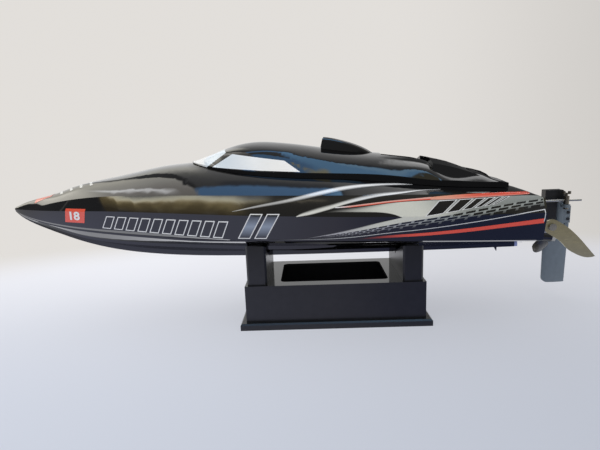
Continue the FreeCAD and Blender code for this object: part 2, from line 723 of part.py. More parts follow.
def make_stern_tube(hull_outer):
    export("stuffing_tube", ring(tube_outer, bush_outer, tube_front, tube_rear))
    bushes = [ring(bush_outer, bore, tube_front, tube_front + bush_length),
              ring(bush_outer, bore, tube_rear - bush_length, tube_rear)]
    export("shaft_bushes", group(bushes))
    flange = box(transom_x, transom_x + strut_flange, -strut_half, strut_half,
                 shaft_height - strut_half, shaft_height + strut_half)
    flange = flange.makeFillet(3.0, [e for e in flange.Edges if e.BoundBox.XLength > 1])
    flange = flange.common(moved(hull_outer, x=strut_flange + 0.6))
    sleeve = bar(strut_radius, 0, tube_rear - 1.0).cut(box(0, transom_x, -20, 20, 0, 120))
    strut = flange.fuse(sleeve).cut(bar(tube_outer, -20, tube_rear + 5))
    screws = []
    for y in (-strut_screw, strut_screw):
        for z in strut_screw_rows:
            screws.append(aft_screw(y, shaft_height + z, transom_x + strut_flange, 5.0))
    for screw in screws:
        strut = strut.cut(screw)
    export("shaft_strut", strut)
    return screws


def aft_screw(y, z, face, length):
    """A pan-head screw driven forward into the transom; face is where its head seats."""
    head = cylinder(small_head, (face, y, z), (face + 1.4, y, z))
    return head.fuse(cylinder(small_screw, (face - length, y, z), (face, y, z)))


def blade_section(radius, chord, angle, thick, sweep):
    """One closed foil section of a propeller blade, wrapped square to the blade's own axis."""
    points = []
    for k in range(14):
        a = 2 * math.pi * k / 14
        along_chord, through = 0.5 * chord * math.cos(a) - sweep, 0.5 * thick * math.sin(a)
        axial = along_chord * math.sin(angle) + through * math.cos(angle)
        across = along_chord * math.cos(angle) - through * math.sin(angle)
        points.append(V(axial, across, -radius))
    return Part.makePolygon(points + points[:1])


def make_propeller():
    hub = bar(prop_hub_radius, prop_front, prop_rear)
    chord_line = smooth([(0.2, 0.6), (0.45, 1.25), (0.65, 1.6), (0.85, 1.55), (0.96, 1.2), (1, 0.8)])
    sections = []
    for share in (0.2, 0.35, 0.5, 0.62, 0.74, 0.85, 0.93, 0.98, 1.0):
        radius = share * prop_radius
        angle = math.atan2(prop_pitch, 2 * math.pi * max(radius, 0.45 * prop_radius))
        sections.append(blade_section(radius, chord_line(share) * prop_radius, angle, 1.9 - 0.9 * share,
                                      prop_sweep * share ** 2 * prop_radius))
    blade = Part.makeLoft(sections, True, True)
    propeller = hub
    for k in range(2):
        copy = blade.copy()
        copy.rotate(V(0, 0, 0), X_AXIS, prop_turn + 180.0 * k)
        copy.rotate(V(0, 0, 0), Y_AXIS, shaft_tilt)
        copy.translate(V(*on_shaft((prop_front + prop_rear) / 2)))
        propeller = propeller.fuse(copy)
    export("propeller", propeller.cut(bar(shaft_radius, prop_front - 5, prop_rear + 5)))


def hex_bar(flat, s0, s1):
    radius = flat / math.sqrt(3)
    points = [V(s0, radius * math.cos(math.pi * k / 3), radius * math.sin(math.pi * k / 3)) for k in range(6)]
    wire = Part.makePolygon(points + points[:1])
    nut = Part.Face(wire).extrude(V(s1 - s0, 0, 0))
    nut.rotate(V(0, 0, 0), Y_AXIS, shaft_tilt)
    nut.translate(V(transom_x, 0, shaft_height))
    return nut


def make_drive_line():
    export("drive_shaft", bar(shaft_radius, coupler_front + coupler_length / 2, prop_rear + nut_length + 1.2))
    export("drive_dog", ring(dog_radius, shaft_radius, dog_front, prop_front))
    nut = hex_bar(nut_flat, prop_rear, prop_rear + nut_length)
    export("prop_nut", nut.cut(bar(shaft_radius, prop_rear - 1, prop_rear + nut_length + 2)))
    coupler = bar(coupler_radius, coupler_front, coupler_rear)
    middle = coupler_front + coupler_length / 2
    coupler = coupler.cut(bar(shaft_radius, middle, coupler_rear + 1))
    coupler = coupler.cut(bar(motor_shaft_radius, coupler_front - 1, middle))
    screws = []
    for s in (coupler_front + 4.5, coupler_rear - 4.5):
        reach = motor_shaft_radius if s < middle else shaft_radius
        screws.append(cylinder(1.2, on_shaft(s, reach), on_shaft(s, coupler_radius - 0.2)))
        coupler = coupler.cut(cylinder(1.2, on_shaft(s, 0.4), on_shaft(s, coupler_radius + 1.0)))
    export("shaft_coupler", coupler)
    export("coupler_screws", group(screws))
    make_propeller()


def make_motor(hull_inner):
    bell_bore = bearing_radius
    can = ring(motor_radius, can_inner, motor_front + bell_thick, motor_rear - bell_thick)
    export("motor_can", can)
    front_bell = ring(motor_radius, bell_bore, motor_front, motor_front + bell_thick)
    rear_bell = ring(motor_radius, bell_bore, motor_rear - bell_thick, motor_rear)
    screws = []
    for way in (-1, 1):
        start = motor_rear - 2.4
        a, b = on_shaft(start, way * motor_screw_circle), on_shaft(motor_rear + mount_thick,
                                                                  way * motor_screw_circle)
        head = on_shaft(motor_rear + mount_thick + 2.0, way * motor_screw_circle)
        screws.append(cylinder(screw_radius, a, b).fuse(cylinder(screw_head, b, head)))
    for screw in screws:
        rear_bell = rear_bell.cut(screw)
    export("motor_end_bells", group([front_bell, rear_bell]))
    bearing = motor_shaft_radius + run_gap
    export("motor_bearings", group([ring(bell_bore, bearing, motor_front, motor_front + bell_thick),
                                    ring(bell_bore, bearing, motor_rear - bell_thick, motor_rear)]))
    core_front, core_rear = motor_front + 7.0, motor_rear - 7.0
    export("motor_stator", ring(can_inner, rotor_radius + air_gap, core_front, core_rear))
    rotor = bar(rotor_radius, core_front, core_rear)
    rotor = rotor.fuse(bar(motor_shaft_radius, motor_front - 1.5, coupler_front + coupler_length / 2))
    export("motor_rotor", rotor)
    jacket_rear = motor_rear - 6.0
    jacket = ring(motor_radius + jacket_wall, motor_radius, jacket_rear - jacket_length, jacket_rear)
    for s in (jacket_rear - jacket_length + 5, jacket_rear - 5):
        nipple = cylinder(1.6, on_shaft(s, motor_radius + 0.5), on_shaft(s, motor_radius + jacket_wall + 7))
        jacket = jacket.fuse(nipple)
    export("cooling_jacket", jacket.cut(bar(motor_radius, motor_front, motor_rear)))
    make_motor_mount(hull_inner, screws)


def make_motor_mount(hull_inner, screws):
    """An upright plate square to the shaft; its foot follows the hull's bottom."""
    plate = box(motor_rear, motor_rear + mount_thick, -mount_half, mount_half, -40, motor_radius + 1.5)
    plate = plate.fuse(box(motor_rear, motor_rear + 16, -mount_half, -mount_half + 3, -40, -8))
    plate = plate.fuse(box(motor_rear, motor_rear + 16, mount_half - 3, mount_half, -40, -8))
    plate.rotate(V(0, 0, 0), Y_AXIS, shaft_tilt)
    plate.translate(V(transom_x, 0, shaft_height))
    plate = plate.common(hull_inner).cut(bar(coupler_radius + 1.0, motor_rear - 5, motor_rear + 30))
    for screw in screws:
        plate = plate.cut(screw)
    export("motor_mount", plate)
    export("motor_screws", group(screws))


# ---------------------------------------------------------------- steering
pivot_x = transom_x + rudder_aft
rod_y = rudder_y - arm_radius
horn_x = transom_x - servo_ahead
horn_z = rod_height - arm_radius
spine_rear = pivot_x - sleeve_radius - 0.8
spine_front = spine_rear - 10.4
holder_top = rod_height - 5.8
blade_top = lug_low - 0.4
holder_low = lug_low + low_lug_thick + seam_gap
holder_back = 7.6              # holder's rear face behind the pivot


def post(radius, x, y, z0, z1):
    return cylinder(radius, (x, y, z0), (x, y, z1))


def bracket_screws():
    face = transom_x + 3.0
    return [aft_screw(rudder_y + dy, z, face, 6.0) for dy in (0.6,) for z in (63.5, 89.0)]


def make_rudder_bracket():
    y0, y1 = rudder_y - spine_half, rudder_y + spine_half
    base = box(transom_x, transom_x + 3.0, y0 - 1.3, y1 + 2.4, 60.5, 92.0)
    arm = plate_xz([(transom_x + 2, 67), (transom_x + 2, 85.5), (spine_front + 2, 86.5), (spine_front + 2, 66)],
                   rudder_y - 2, rudder_y + 2)
    body = base.fuse(arm).fuse(box(spine_front, spine_rear, y0, y1, lug_low, lug_top))
    for z0, z1 in ((lug_top - lug_thick, lug_top), (lug_low, lug_low + low_lug_thick)):
        body = body.fuse(box(spine_front, pivot_x, y0, y1, z0, z1))
        body = body.fuse(post(sleeve_radius, pivot_x, rudder_y, z0, z1))
    bevel = plate_xz([(pivot_x - 1.5, lug_top + 1), (pivot_x + 6, lug_top + 1), (pivot_x + 6, lug_top - 5)],
                     rudder_y - 10, rudder_y + 10)
    body = body.cut(bevel).cut(post(pivot_radius, pivot_x, rudder_y, 0, 200))
    screws = bracket_screws()
    for screw in screws:
        body = body.cut(screw)
    export("rudder_bracket", body.removeSplitter())
    export("rudder_pivot_pin", post(pivot_radius, pivot_x, rudder_y, lug_low, lug_top - 1.0))
    return screws


def foil_prism():
    """The blade's plan section: round nose, fullest near the pivot, thin tail."""
    half = blade_thick / 2
    ahead = [(-blade_front, 0), (-blade_front + 1.6, 0.62 * half), (-blade_front + 5, 0.92 * half), (-2.0, half),
             (3.0, 0.8 * half), (blade_back + 0.6, 0.34 * half)]
    side = arch([(pivot_x + x, rudder_y + y, 0) for x, y in ahead])
    other = arch([(pivot_x + x, rudder_y - y, 0) for x, y in ahead])
    (xt, yt) = ahead[-1]
    tail = Part.makeLine(V(pivot_x + xt, rudder_y + yt, 0), V(pivot_x + xt, rudder_y - yt, 0))
    return Part.Face(Part.Wire([side, tail, other])).extrude(V(0, 0, lug_low + 20))


def make_rudder():
    x, y = pivot_x, rudder_y
    corner = 4.6
    low_x = x - blade_front + 0.6
    outline = [Part.makeLine(V(x + 4.4, 0, blade_top), V(x - blade_front + 3.4, 0, blade_top)),
               Part.Arc(V(x - blade_front + 3.4, 0, blade_top), V(x - blade_front + 0.9, 0, blade_top - 1.6),
                        V(x - blade_front, 0, blade_top - 4.6)).toShape(),
               Part.makeLine(V(x - blade_front, 0, blade_top - 4.6), V(low_x, 0, blade_bottom + corner)),
               Part.Arc(V(low_x, 0, blade_bottom + corner), V(low_x + 0.3 * corner, 0, blade_bottom + 0.3 * corner),
                        V(low_x + corner, 0, blade_bottom)).toShape(),
               Part.makeLine(V(low_x + corner, 0, blade_bottom), V(x + blade_back - 0.6, 0, blade_bottom)),
               Part.makeLine(V(x + blade_back - 0.6, 0, blade_bottom), V(x + blade_back + 0.4, 0, holder_low)),
               Part.makeLine(V(x + blade_back + 0.4, 0, holder_low), V(x + 4.4, 0, holder_low)),
               Part.makeLine(V(x + 4.4, 0, holder_low), V(x + 4.4, 0, blade_top))]
    plate = Part.Face(Part.Wire(outline)).extrude(V(0, 10, 0))
    blade = moved(plate, y=y - 5).common(foil_prism())
    tongue = box(x + 4.2, x + holder_back - 0.6, y - 1, y + 1, blade_top - 3, holder_top - 3)
    holder = post(sleeve_radius, x, y, holder_low, holder_top)
    holder = holder.fuse(box(x + 1.0, x + holder_back, y - 3.3, y + 3.3, holder_low + 0.8, holder_top))
    holder = holder.cut(box(x + 4.2, x + holder_back - 0.6, y - 1, y + 1, holder_low, holder_top - 2.6))
    holder = holder.cut(post(pivot_radius + run_gap, x, y, 0, 200))
    pins = []
    for z in (holder_low + 4.4, holder_top - 5.6):
        shank = cylinder(0.7, (x + 5.6, y - 3.3, z), (x + 5.6, y + 3.3, z))
        pins.append(shank.fuse(cylinder(1.3, (x + 5.6, y - 4.0, z), (x + 5.6, y - 3.3, z))))
    blade = blade.fuse(tongue)
    for pin in pins:
        holder, blade = holder.cut(pin), blade.cut(pin)
    export("rudder_blade", blade)
    export("rudder_holder", holder)
    export("rudder_pins", group(pins))
    export("tiller_horn", make_tiller())


def make_tiller():
    x, y = pivot_x, rudder_y
    top = holder_top + tiller_thick
    reach = y - arm_radius
    boss_top = lug_top - lug_thick - seam_gap
    tiller = post(sleeve_radius, x, y, holder_top, boss_top)
    tiller = tiller.fuse(box(x - 1.9, x + 1.9, reach + 2.0, y, holder_top, top))
    tiller = tiller.fuse(box(x - 2.3, x + 2.3, reach - 2.2, reach + 3.0, holder_top, top))
    tiller = tiller.fuse(post(2.3, x, reach - 2.2, holder_top, top))
    play = linkage_pin + slot_play
    slot = post(play, x, reach - 1.8, holder_top - 1, top + 1)
    slot = slot.fuse(post(play, x, reach + 0.3, holder_top - 1, top + 1))
    slot = slot.fuse(box(x - play, x + play, reach - 1.8, reach + 0.3, holder_top - 1, top + 1))
    return tiller.cut(slot).cut(post(pivot_radius + run_gap, x, y, 0, 200))


def make_linkage():
    """The pushrod and the two swivel stoppers clamped on it."""
    x0, x1 = horn_x - 5.0, pivot_x + rod_tail
    rod = cylinder(rod_radius, (x0, rod_y, rod_height), (x1, rod_y, rod_height))
    export("rudder_pushrod", rod)
    base = holder_top + tiller_thick + seam_gap
    aft = post(2.3, pivot_x, rod_y, base, rod_height + 3.7)
    aft = aft.fuse(post(linkage_pin, pivot_x, rod_y, holder_top - seam_gap - 1, base))
    aft = aft.fuse(post(2.0, pivot_x, rod_y, holder_top - seam_gap - 1.3, holder_top - seam_gap))
    aft = aft.fuse(post(1.0, pivot_x, rod_y, rod_height + 3.7, rod_height + 6.4))
    for way in (-1, 1):
        ear = post(1.25, pivot_x + way * 2.3, rod_y, rod_height + 5.6, rod_height + 7.8)
        aft = aft.fuse(ear).fuse(box(min(pivot_x, pivot_x + way * 2.3), max(pivot_x, pivot_x + way * 2.3),
                                     rod_y - 0.5, rod_y + 0.5, rod_height + 5.4, rod_height + 6.6))
    horn_y = rod_y + 1.9
    fore = cylinder(2.3, (horn_x, rod_y - 2.3, rod_height), (horn_x, horn_y - seam_gap, rod_height))
    fore = fore.fuse(cylinder(linkage_pin, (horn_x, horn_y - 1, rod_height),
                              (horn_x, horn_y + horn_thick + seam_gap + 0.8, rod_height)))
    fore = fore.fuse(cylinder(1.8, (horn_x, horn_y + horn_thick + seam_gap, rod_height),
                              (horn_x, horn_y + horn_thick + seam_gap + 0.8, rod_height)))
    export("linkage_stoppers", group([aft.cut(rod), fore.cut(rod)]))
    make_servo(horn_y)


def make_servo(horn_y):
    x, z = horn_x, horn_z
    case_y = horn_y + horn_thick + 2.1
    end = 0.5 * servo_height
    case = box(x - end, x - end + servo_length, case_y, case_y + servo_depth, z - end, z + end)
    case = case.fuse(box(x - end - servo_ear, x - end + servo_length + servo_ear,
                         case_y + 10, case_y + 12.2, z - end, z + end))
    case = case.fuse(cylinder(5.6, (x, case_y - 1.6, z), (x, case_y, z)))
    output = cylinder(2.0, (x, horn_y + horn_thick, z), (x, case_y + 4.0, z))
    case = case.cut(cylinder(2.0 + run_gap, (x, case_y - 3, z), (x, case_y + 4.4, z)))
    horn = cylinder(3.2, (x, horn_y, z), (x, horn_y + horn_thick, z))
    tip = z + arm_radius + 2.2
    horn = horn.fuse(box(x - 2.3, x + 2.3, horn_y, horn_y + horn_thick, z, tip))
    horn = horn.fuse(cylinder(2.3, (x, horn_y, tip), (x, horn_y + horn_thick, tip)))
    play = linkage_pin + slot_play
    for level in (z + arm_radius - 0.3, z + arm_radius + 1.8):
        horn = horn.cut(cylinder(play, (x, horn_y - 1, level), (x, horn_y + horn_thick + 1, level)))
    horn = horn.cut(box(x - play, x + play, horn_y - 1, horn_y + horn_thick + 1,
                        z + arm_radius - 0.3, z + arm_radius + 1.8))
    export("servo_horn", horn.fuse(output))
    screws = []
    ear_mid = (x - end - servo_ear / 2, x - end + servo_length + servo_ear / 2)
    for ear_x in ear_mid:
        for level in (z - 3.6, z + 3.6):
            shank = cylinder(0.9, (ear_x, case_y + 10, level), (ear_x, case_y + 16, level))
            screws.append(shank.fuse(cylinder(1.7, (ear_x, case_y + 8.8, level), (ear_x, case_y + 10, level))))
    for screw in screws:
        case = case.cut(screw)
    export("servo_case", case)
    export("servo_screws", group(screws))
    return screws, case_y, end


def make_servo_mount(hull_inner):
    """Two posts and a bed that carry the servo's ears; the bed follows the hull's bottom."""
    horn_y = rod_y + 1.9
    case_y, end = horn_y + horn_thick + 2.1, 0.5 * servo_height
    x0, x1 = horn_x - end, horn_x - end + servo_length
    y0, y1 = case_y + 12.2, case_y + 17.0
    top = horn_z + end
    mount = box(x0 - servo_ear, x1 + servo_ear, y0, y1, keel_height, horn_z - end)
    mount = mount.fuse(box(x0 - servo_ear, x0, y0, y1, keel_height, top))
    mount = mount.fuse(box(x1, x1 + servo_ear, y0, y1, keel_height, top)).common(hull_inner)
    for ear_x in (x0 - servo_ear / 2, x1 + servo_ear / 2):
        for level in (horn_z - 3.6, horn_z + 3.6):
            mount = mount.cut(cylinder(0.9, (ear_x, y0 - 1, level), (ear_x, case_y + 16, level)))
    export("servo_mount", mount)


def make_bellows():
    """A pleated rubber seal round the pushrod, on the transom."""
    rings = [(0, 3.9), (1.0, 3.9), (1.0, 2.6), (2.4, 3.3), (3.8, 2.3), (5.2, 2.9), (6.6, 2.0), (8.0, 2.5),
             (9.4, 1.7), (12.0, 1.6)]
    inner = rod_radius + run_gap
    points = [V(transom_x + dx, rod_y, rod_height + r) for dx, r in rings]
    points += [V(transom_x + 12.0, rod_y, rod_height + inner), V(transom_x, rod_y, rod_height + inner)]
    face = Part.Face(Part.makePolygon(points + points[:1]))
    export("pushrod_bellows", face.revolve(V(transom_x, rod_y, rod_height), X_AXIS, 360))


# ---------------------------------------------------------------- turn fins and small stern fittings
def make_fins():
    """Port fin, bracket and screws, then the same to starboard."""
    x, z = transom_x, fin_screw_z
    outer = -fin_y - fin_thick / 2
    head = Part.Arc(V(x + 3.4, outer, z - 4.0), V(x + fin_screw_x - fin_head, outer, z + 0.6),
                    V(x + 9.6, outer, z + 5.1)).toShape()
    upper = arch([(x + 9.6, outer, z + 5.1), (x + 18.0, outer, z - 0.1), (x + 26.3, outer, z - 7.4),
                  (x + 33.4, outer, z - 15.2), (x + 40.4, outer, z - 23.2)])
    lower = arch([(x + 40.4, outer, z - 23.2), (x + 33.4, outer, z - 23.9), (x + 25.9, outer, z - 21.1),
                  (x + 19.7, outer, z - 17.0), (x + 13.6, outer, z - 10.8), (x + 8.4, outer, z - 7.2),
                  (x + 3.4, outer, z - 4.0)])
    fin = Part.Face(Part.Wire([head, upper, lower])).extrude(V(0, fin_thick, 0))
    inner = outer + fin_thick
    ear = box(x, x + fin_screw_x, inner, inner + fin_bracket_wide, z - 4.6, z + 4.6)
    ear = ear.fuse(cylinder(4.6, (x + fin_screw_x, inner, z), (x + fin_screw_x, inner + fin_bracket_wide, z)))
    foot = box(x, x + 2.4, inner, -fin_bracket_inner, z - 6.0, z + 6.0)
    screw = cylinder(screw_radius, (x + fin_screw_x, outer, z), (x + fin_screw_x, inner + fin_bracket_wide + 3, z))
    screw = screw.fuse(cylinder(screw_head, (x + fin_screw_x, outer - 1.5, z), (x + fin_screw_x, outer, z)))
    nut = cylinder(2.9, (x + fin_screw_x, inner + fin_bracket_wide, z),
                   (x + fin_screw_x, inner + fin_bracket_wide + 2.2, z))
    screw = screw.fuse(nut)
    fasteners = [aft_screw(-fin_bracket_inner - 7.5, z + dz, x + 2.4, 5.0) for dz in (-3.4, 3.4)]
    bracket = ear.fuse(foot)
    for part in [screw] + fasteners:
        bracket = bracket.cut(part)
    fin = fin.cut(screw)
    export("turn_fin_port", fin)
    export("turn_fin_starboard", mirrored(fin))
    export("fin_brackets", group([bracket, mirrored(bracket)]))
    everything = [screw] + fasteners
    everything += [mirrored(part) for part in everything]
    return everything


def make_small_fittings(hull_outer):
    z = outlet_z
    pipe = tube(1.8, 1.1, (transom_x - 6, outlet_y, z), (transom_x + 7, outlet_y, z))
    flange = tube(3.2, 1.1, (transom_x, outlet_y, z), (transom_x + 1.4, outlet_y, z))
    outlet = pipe.fuse(flange)
    export("water_outlet", outlet)
    plug = cylinder(drain_radius, (transom_x, drain_y, drain_z), (transom_x + 3.2, drain_y, drain_z))
    plug = plug.cut(box(transom_x + 2.2, transom_x + 4, drain_y - 3.0, drain_y + 3.0, drain_z - 0.5, drain_z + 0.5))
    plug = plug.fuse(cylinder(2.2, (transom_x - 5, drain_y, drain_z), (transom_x, drain_y, drain_z)))
    export("drain_plug", plug)
    x = transom_x - pickup_ahead
    pickup = plate_xz([(x - 2.6, keel_height + 4), (x + 1.8, keel_height + 4), (x + 1.6, keel_height - 2.8)],
                      -0.9, 0.9)
    export("keel_pickup", pickup.cut(hull_outer))
    return [cylinder(1.8, (transom_x - 8, outlet_y, z), (transom_x + 1, outlet_y, z)),
            cylinder(2.2, (transom_x - 8, drain_y, drain_z), (transom_x + 1, drain_y, drain_z))]


# ---------------------------------------------------------------- radio gear
def make_radio(hull_inner):
    x0, x1 = battery_front, battery_front + battery_length
    half = battery_width / 2
    battery = box(x0, x1, -half, half, tray_height, tray_height + battery_height)
    battery = battery.makeFillet(3.0, [e for e in battery.Edges if e.BoundBox.XLength > 50])
    export("battery_pack", battery)
    lip = half + strap_thick + 0.2
    floor = box(x0 - 2, x1 + 2, -lip - 2, lip + 2, tray_height - tray_thick, tray_height)
    tray = floor
    for side in (-1, 1):
        y0, y1 = sorted((side * lip, side * (lip + 2)))
        tray = tray.fuse(box(x0 - 2, x1 + 2, y0, y1, tray_height - 1, tray_height + 5))
    ribs = [box(x, x + 2.4, -lip - 2, lip + 2, keel_height, tray_height - tray_thick / 2)
            for x in (x0, (x0 + x1) / 2, x1 - 2.4)]
    for rib in ribs:
        tray = tray.fuse(rib.common(hull_inner))
    export("battery_tray", tray.cut(battery))
    straps = []
    for x in (x0 + 0.22 * battery_length, x1 - 0.22 * battery_length):
        outer = box(x - strap_wide / 2, x + strap_wide / 2, -half - strap_thick, half + strap_thick,
                    tray_height, tray_height + battery_height + strap_thick)
        straps.append(outer.cut(battery))
    export("battery_straps", group(straps))
    esc_y = -0.263 * half_beam
    esc = box(esc_front, esc_front + esc_length, esc_y - esc_width, esc_y, gear_floor, gear_floor + esc_height)
    for k in range(6):
        y = esc_y - esc_width + 3.2 + k * (esc_width - 6.4) / 5
        esc = esc.fuse(box(esc_front + 3, esc_front + esc_length - 3, y - 0.6, y + 0.6,
                           gear_floor + esc_height - 1, gear_floor + esc_height + 3.5))
    export("speed_controller", esc)
    rx = esc_front + esc_length + 4
    receiver = box(rx, rx + receiver_length, esc_y - 2 - receiver_width, esc_y - 2,
                   gear_floor, gear_floor + receiver_height)
    export("receiver", receiver)
    pads = [box(esc_front + 4, esc_front + esc_length - 4, esc_y - esc_width + 2, esc_y - 2,
                keel_height, gear_floor).common(hull_inner),
            box(rx + 3, rx + receiver_length - 3, esc_y - receiver_width, esc_y - 4,
                keel_height, gear_floor).common(hull_inner)]
    export("equipment_pads", group(pads))
    x2, x3 = along(0.17), along(0.27)
    foam = box(x2, x3, -half_beam, half_beam, 0, keel_height + 44).common(hull_inner)
    export("bow_foam", foam)


def main():
    os.makedirs("parts", exist_ok=True)
    hull_outer, deck_outer, hull_inner, deck_inner = make_hull_solids()
    make_stand()
    make_cradles(hull_outer)
    stern_screws = make_stern_tube(hull_outer) + make_rudder_bracket() + make_fins()
    export("stern_screws", group(stern_screws))
    cuts = stern_screws + make_small_fittings(hull_outer)
    cuts.append(bar(tube_outer, tube_front, tube_rear))
    cuts.append(cylinder(2.4, (transom_x - 10, rod_y, rod_height), (transom_x + 1, rod_y, rod_height)))
    make_hull(hull_outer, hull_inner, cuts)
    canopy_outer, canopy_inner = make_canopy_solids()
    make_deck(deck_outer, deck_inner, canopy_inner, cuts)
    make_deck_magnets()
    make_canopy(deck_outer, canopy_outer, canopy_inner)
    make_drive_line()
    make_motor(hull_inner)
    make_rudder()
    make_linkage()
    make_servo_mount(hull_inner)
    make_bellows()
    make_radio(hull_inner)


main()
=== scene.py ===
import bpy
import json
import math
from mathutils import Matrix, Vector
from mathutils.bvhtree import BVHTree
from mathutils.geometry import barycentric_transform


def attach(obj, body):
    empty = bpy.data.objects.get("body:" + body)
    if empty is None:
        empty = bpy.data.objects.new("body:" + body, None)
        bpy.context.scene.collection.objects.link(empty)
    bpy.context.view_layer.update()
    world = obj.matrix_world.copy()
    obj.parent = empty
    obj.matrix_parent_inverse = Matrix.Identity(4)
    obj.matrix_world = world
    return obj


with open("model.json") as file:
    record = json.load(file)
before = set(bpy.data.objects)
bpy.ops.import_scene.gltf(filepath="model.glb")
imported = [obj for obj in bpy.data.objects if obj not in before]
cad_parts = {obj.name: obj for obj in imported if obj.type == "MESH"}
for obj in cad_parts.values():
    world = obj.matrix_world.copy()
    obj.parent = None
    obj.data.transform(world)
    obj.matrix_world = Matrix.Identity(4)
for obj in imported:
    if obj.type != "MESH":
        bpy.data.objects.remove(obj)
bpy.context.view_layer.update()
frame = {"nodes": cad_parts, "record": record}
nodes = frame["nodes"]
scene = bpy.context.scene
scene.view_settings.view_transform = "Standard"

# X runs from bow to stern, Y from port to starboard, Z up from the table, with the origin under the stand.
# Places on the hull are in millimetres, everything else in metres. Colours are linear.
MM = 0.001
PORT, STARBOARD = -1, 1

BLACK = (0.0034, 0.0035, 0.0042)
SILVER = (0.30, 0.325, 0.31)
DULL_SILVER = (0.24, 0.26, 0.245)
BRIGHT = (0.84, 0.86, 0.88)
CREAM = (0.66, 0.67, 0.60)
RED = (0.76, 0.095, 0.052)
PINK = (0.80, 0.42, 0.36)
WHITE = (0.80, 0.81, 0.82)


def grey(value):
    return (value, value, value)


# ---------------------------------------------------------------- camera
CAMERA_PLACE = Vector((-16.17, -380.87, 152.89)) * MM
CAMERA_YAW, CAMERA_PITCH, CAMERA_ROLL = -0.0277, 0.1981, -0.0389
CAMERA_LENS, CAMERA_FRAME = 27.6, 36.0


def make_camera():
    """Off the port side, just above the canopy and looking a little down."""
    yaw, pitch, roll = CAMERA_YAW, CAMERA_PITCH, CAMERA_ROLL
    forward = Vector((math.sin(yaw) * math.cos(pitch), math.cos(yaw) * math.cos(pitch), -math.sin(pitch)))
    level = Vector((math.cos(yaw), -math.sin(yaw), 0))
    upright = level.cross(forward)
    right = level * math.cos(roll) + upright * math.sin(roll)
    up = -level * math.sin(roll) + upright * math.cos(roll)
    data = bpy.data.cameras.new("camera")
    data.lens, data.sensor_width, data.clip_start = CAMERA_LENS, CAMERA_FRAME, 0.01
    camera = bpy.data.objects.new("camera", data)
    scene.collection.objects.link(camera)
    turn = Matrix((right, up, -forward)).transposed()
    camera.matrix_world = Matrix.Translation(CAMERA_PLACE) @ turn.to_4x4()
    scene.camera = camera


# ---------------------------------------------------------------- node helpers
MIX_FIRST, MIX_SECOND, MIX_RESULT = 6, 7, 2    # the Mix node's colour sockets


class Tree:
    """A node tree with short calls for the nodes used here."""

    def __init__(self, tree):
        self.tree = tree

    def node(self, kind):
        return self.tree.nodes.new(kind)

    def add(self, kind, **inputs):
        node = self.node(kind)
        for key, value in inputs.items():
            self.feed(value, node.inputs[key.replace("_", " ")])
        return node

    def feed(self, value, target):
        if isinstance(value, bpy.types.NodeSocket):
            self.tree.links.new(value, target)
        else:
            target.default_value = value

    def link(self, source, target):
        self.tree.links.new(source, target)

    def math(self, operation, *values):
        node = self.node("ShaderNodeMath")
        node.operation = operation
        for value, socket in zip(values, node.inputs):
            self.feed(value, socket)
        return node.outputs[0]

    def minus(self, first, second):
        return self.math("SUBTRACT", first, second)

    def both(self, *masks):
        """Masks multiplied: 1 where all of them are."""
        result = masks[0]
        for mask in masks[1:]:
            result = self.math("MULTIPLY", result, mask)
        return result

    def line(self, value, slope, start):
        """value * slope + start"""
        return self.math("MULTIPLY_ADD", value, slope, start)

    def rise(self, value, low, high):
        """0 below low and 1 above high, or the other way round, with a smooth step between."""
        node = self.add("ShaderNodeMapRange", Value=value)
        node.interpolation_type = "SMOOTHSTEP"
        falling = low > high
        node.inputs["From Min"].default_value = min(low, high)
        node.inputs["From Max"].default_value = max(low, high)
        node.inputs["To Min"].default_value = 1.0 if falling else 0.0
        node.inputs["To Max"].default_value = 0.0 if falling else 1.0
        return node.outputs["Result"]

    def axes(self, vector):
        split = self.add("ShaderNodeSeparateXYZ", Vector=vector)
        return [split.outputs[axis] for axis in "XYZ"]

    def blend(self, factor, first, second):
        node = self.node("ShaderNodeMix")
        node.data_type = "RGBA"
        self.feed(factor, node.inputs["Factor"])
        for value, socket in ((first, node.inputs[MIX_FIRST]), (second, node.inputs[MIX_SECOND])):
            self.feed(value if isinstance(value, bpy.types.NodeSocket) else (*value, 1), socket)
        return node.outputs[MIX_RESULT]

    def multiply(self, first, second):
        """Two colours multiplied."""
        node = self.node("ShaderNodeMix")
        node.data_type, node.blend_type = "RGBA", "MULTIPLY"
        node.inputs["Factor"].default_value = 1.0
        self.link(first, node.inputs[MIX_FIRST])
        self.link(second, node.inputs[MIX_SECOND])
        return node.outputs[MIX_RESULT]

    def ramp(self, factor, stops):
        node = self.node("ShaderNodeValToRGB")
        elements = node.color_ramp.elements
        while len(elements) < len(stops):
            elements.new(0.5)
        for element, (position, colour) in zip(elements, stops):
            element.position = position
            element.color = (*colour, 1)
        self.feed(factor, node.inputs["Fac"])
        return node.outputs["Color"]

    def spread(self, value, stops):
        """A ramp whose stops are given in the value's own unit."""
        low, high = stops[0][0], stops[-1][0]
        share = self.math("DIVIDE", self.minus(value, low), high - low)
        return self.ramp(share, [((place - low) / (high - low), colour) for place, colour in stops])

    def choose(self, factor, first, second):
        """The first shader where the factor is 0, the second where it is 1."""
        node = self.node("ShaderNodeMixShader")
        self.link(factor, node.inputs["Fac"])
        self.link(first, node.inputs[1])
        self.link(second, node.inputs[2])
        return node.outputs["Shader"]


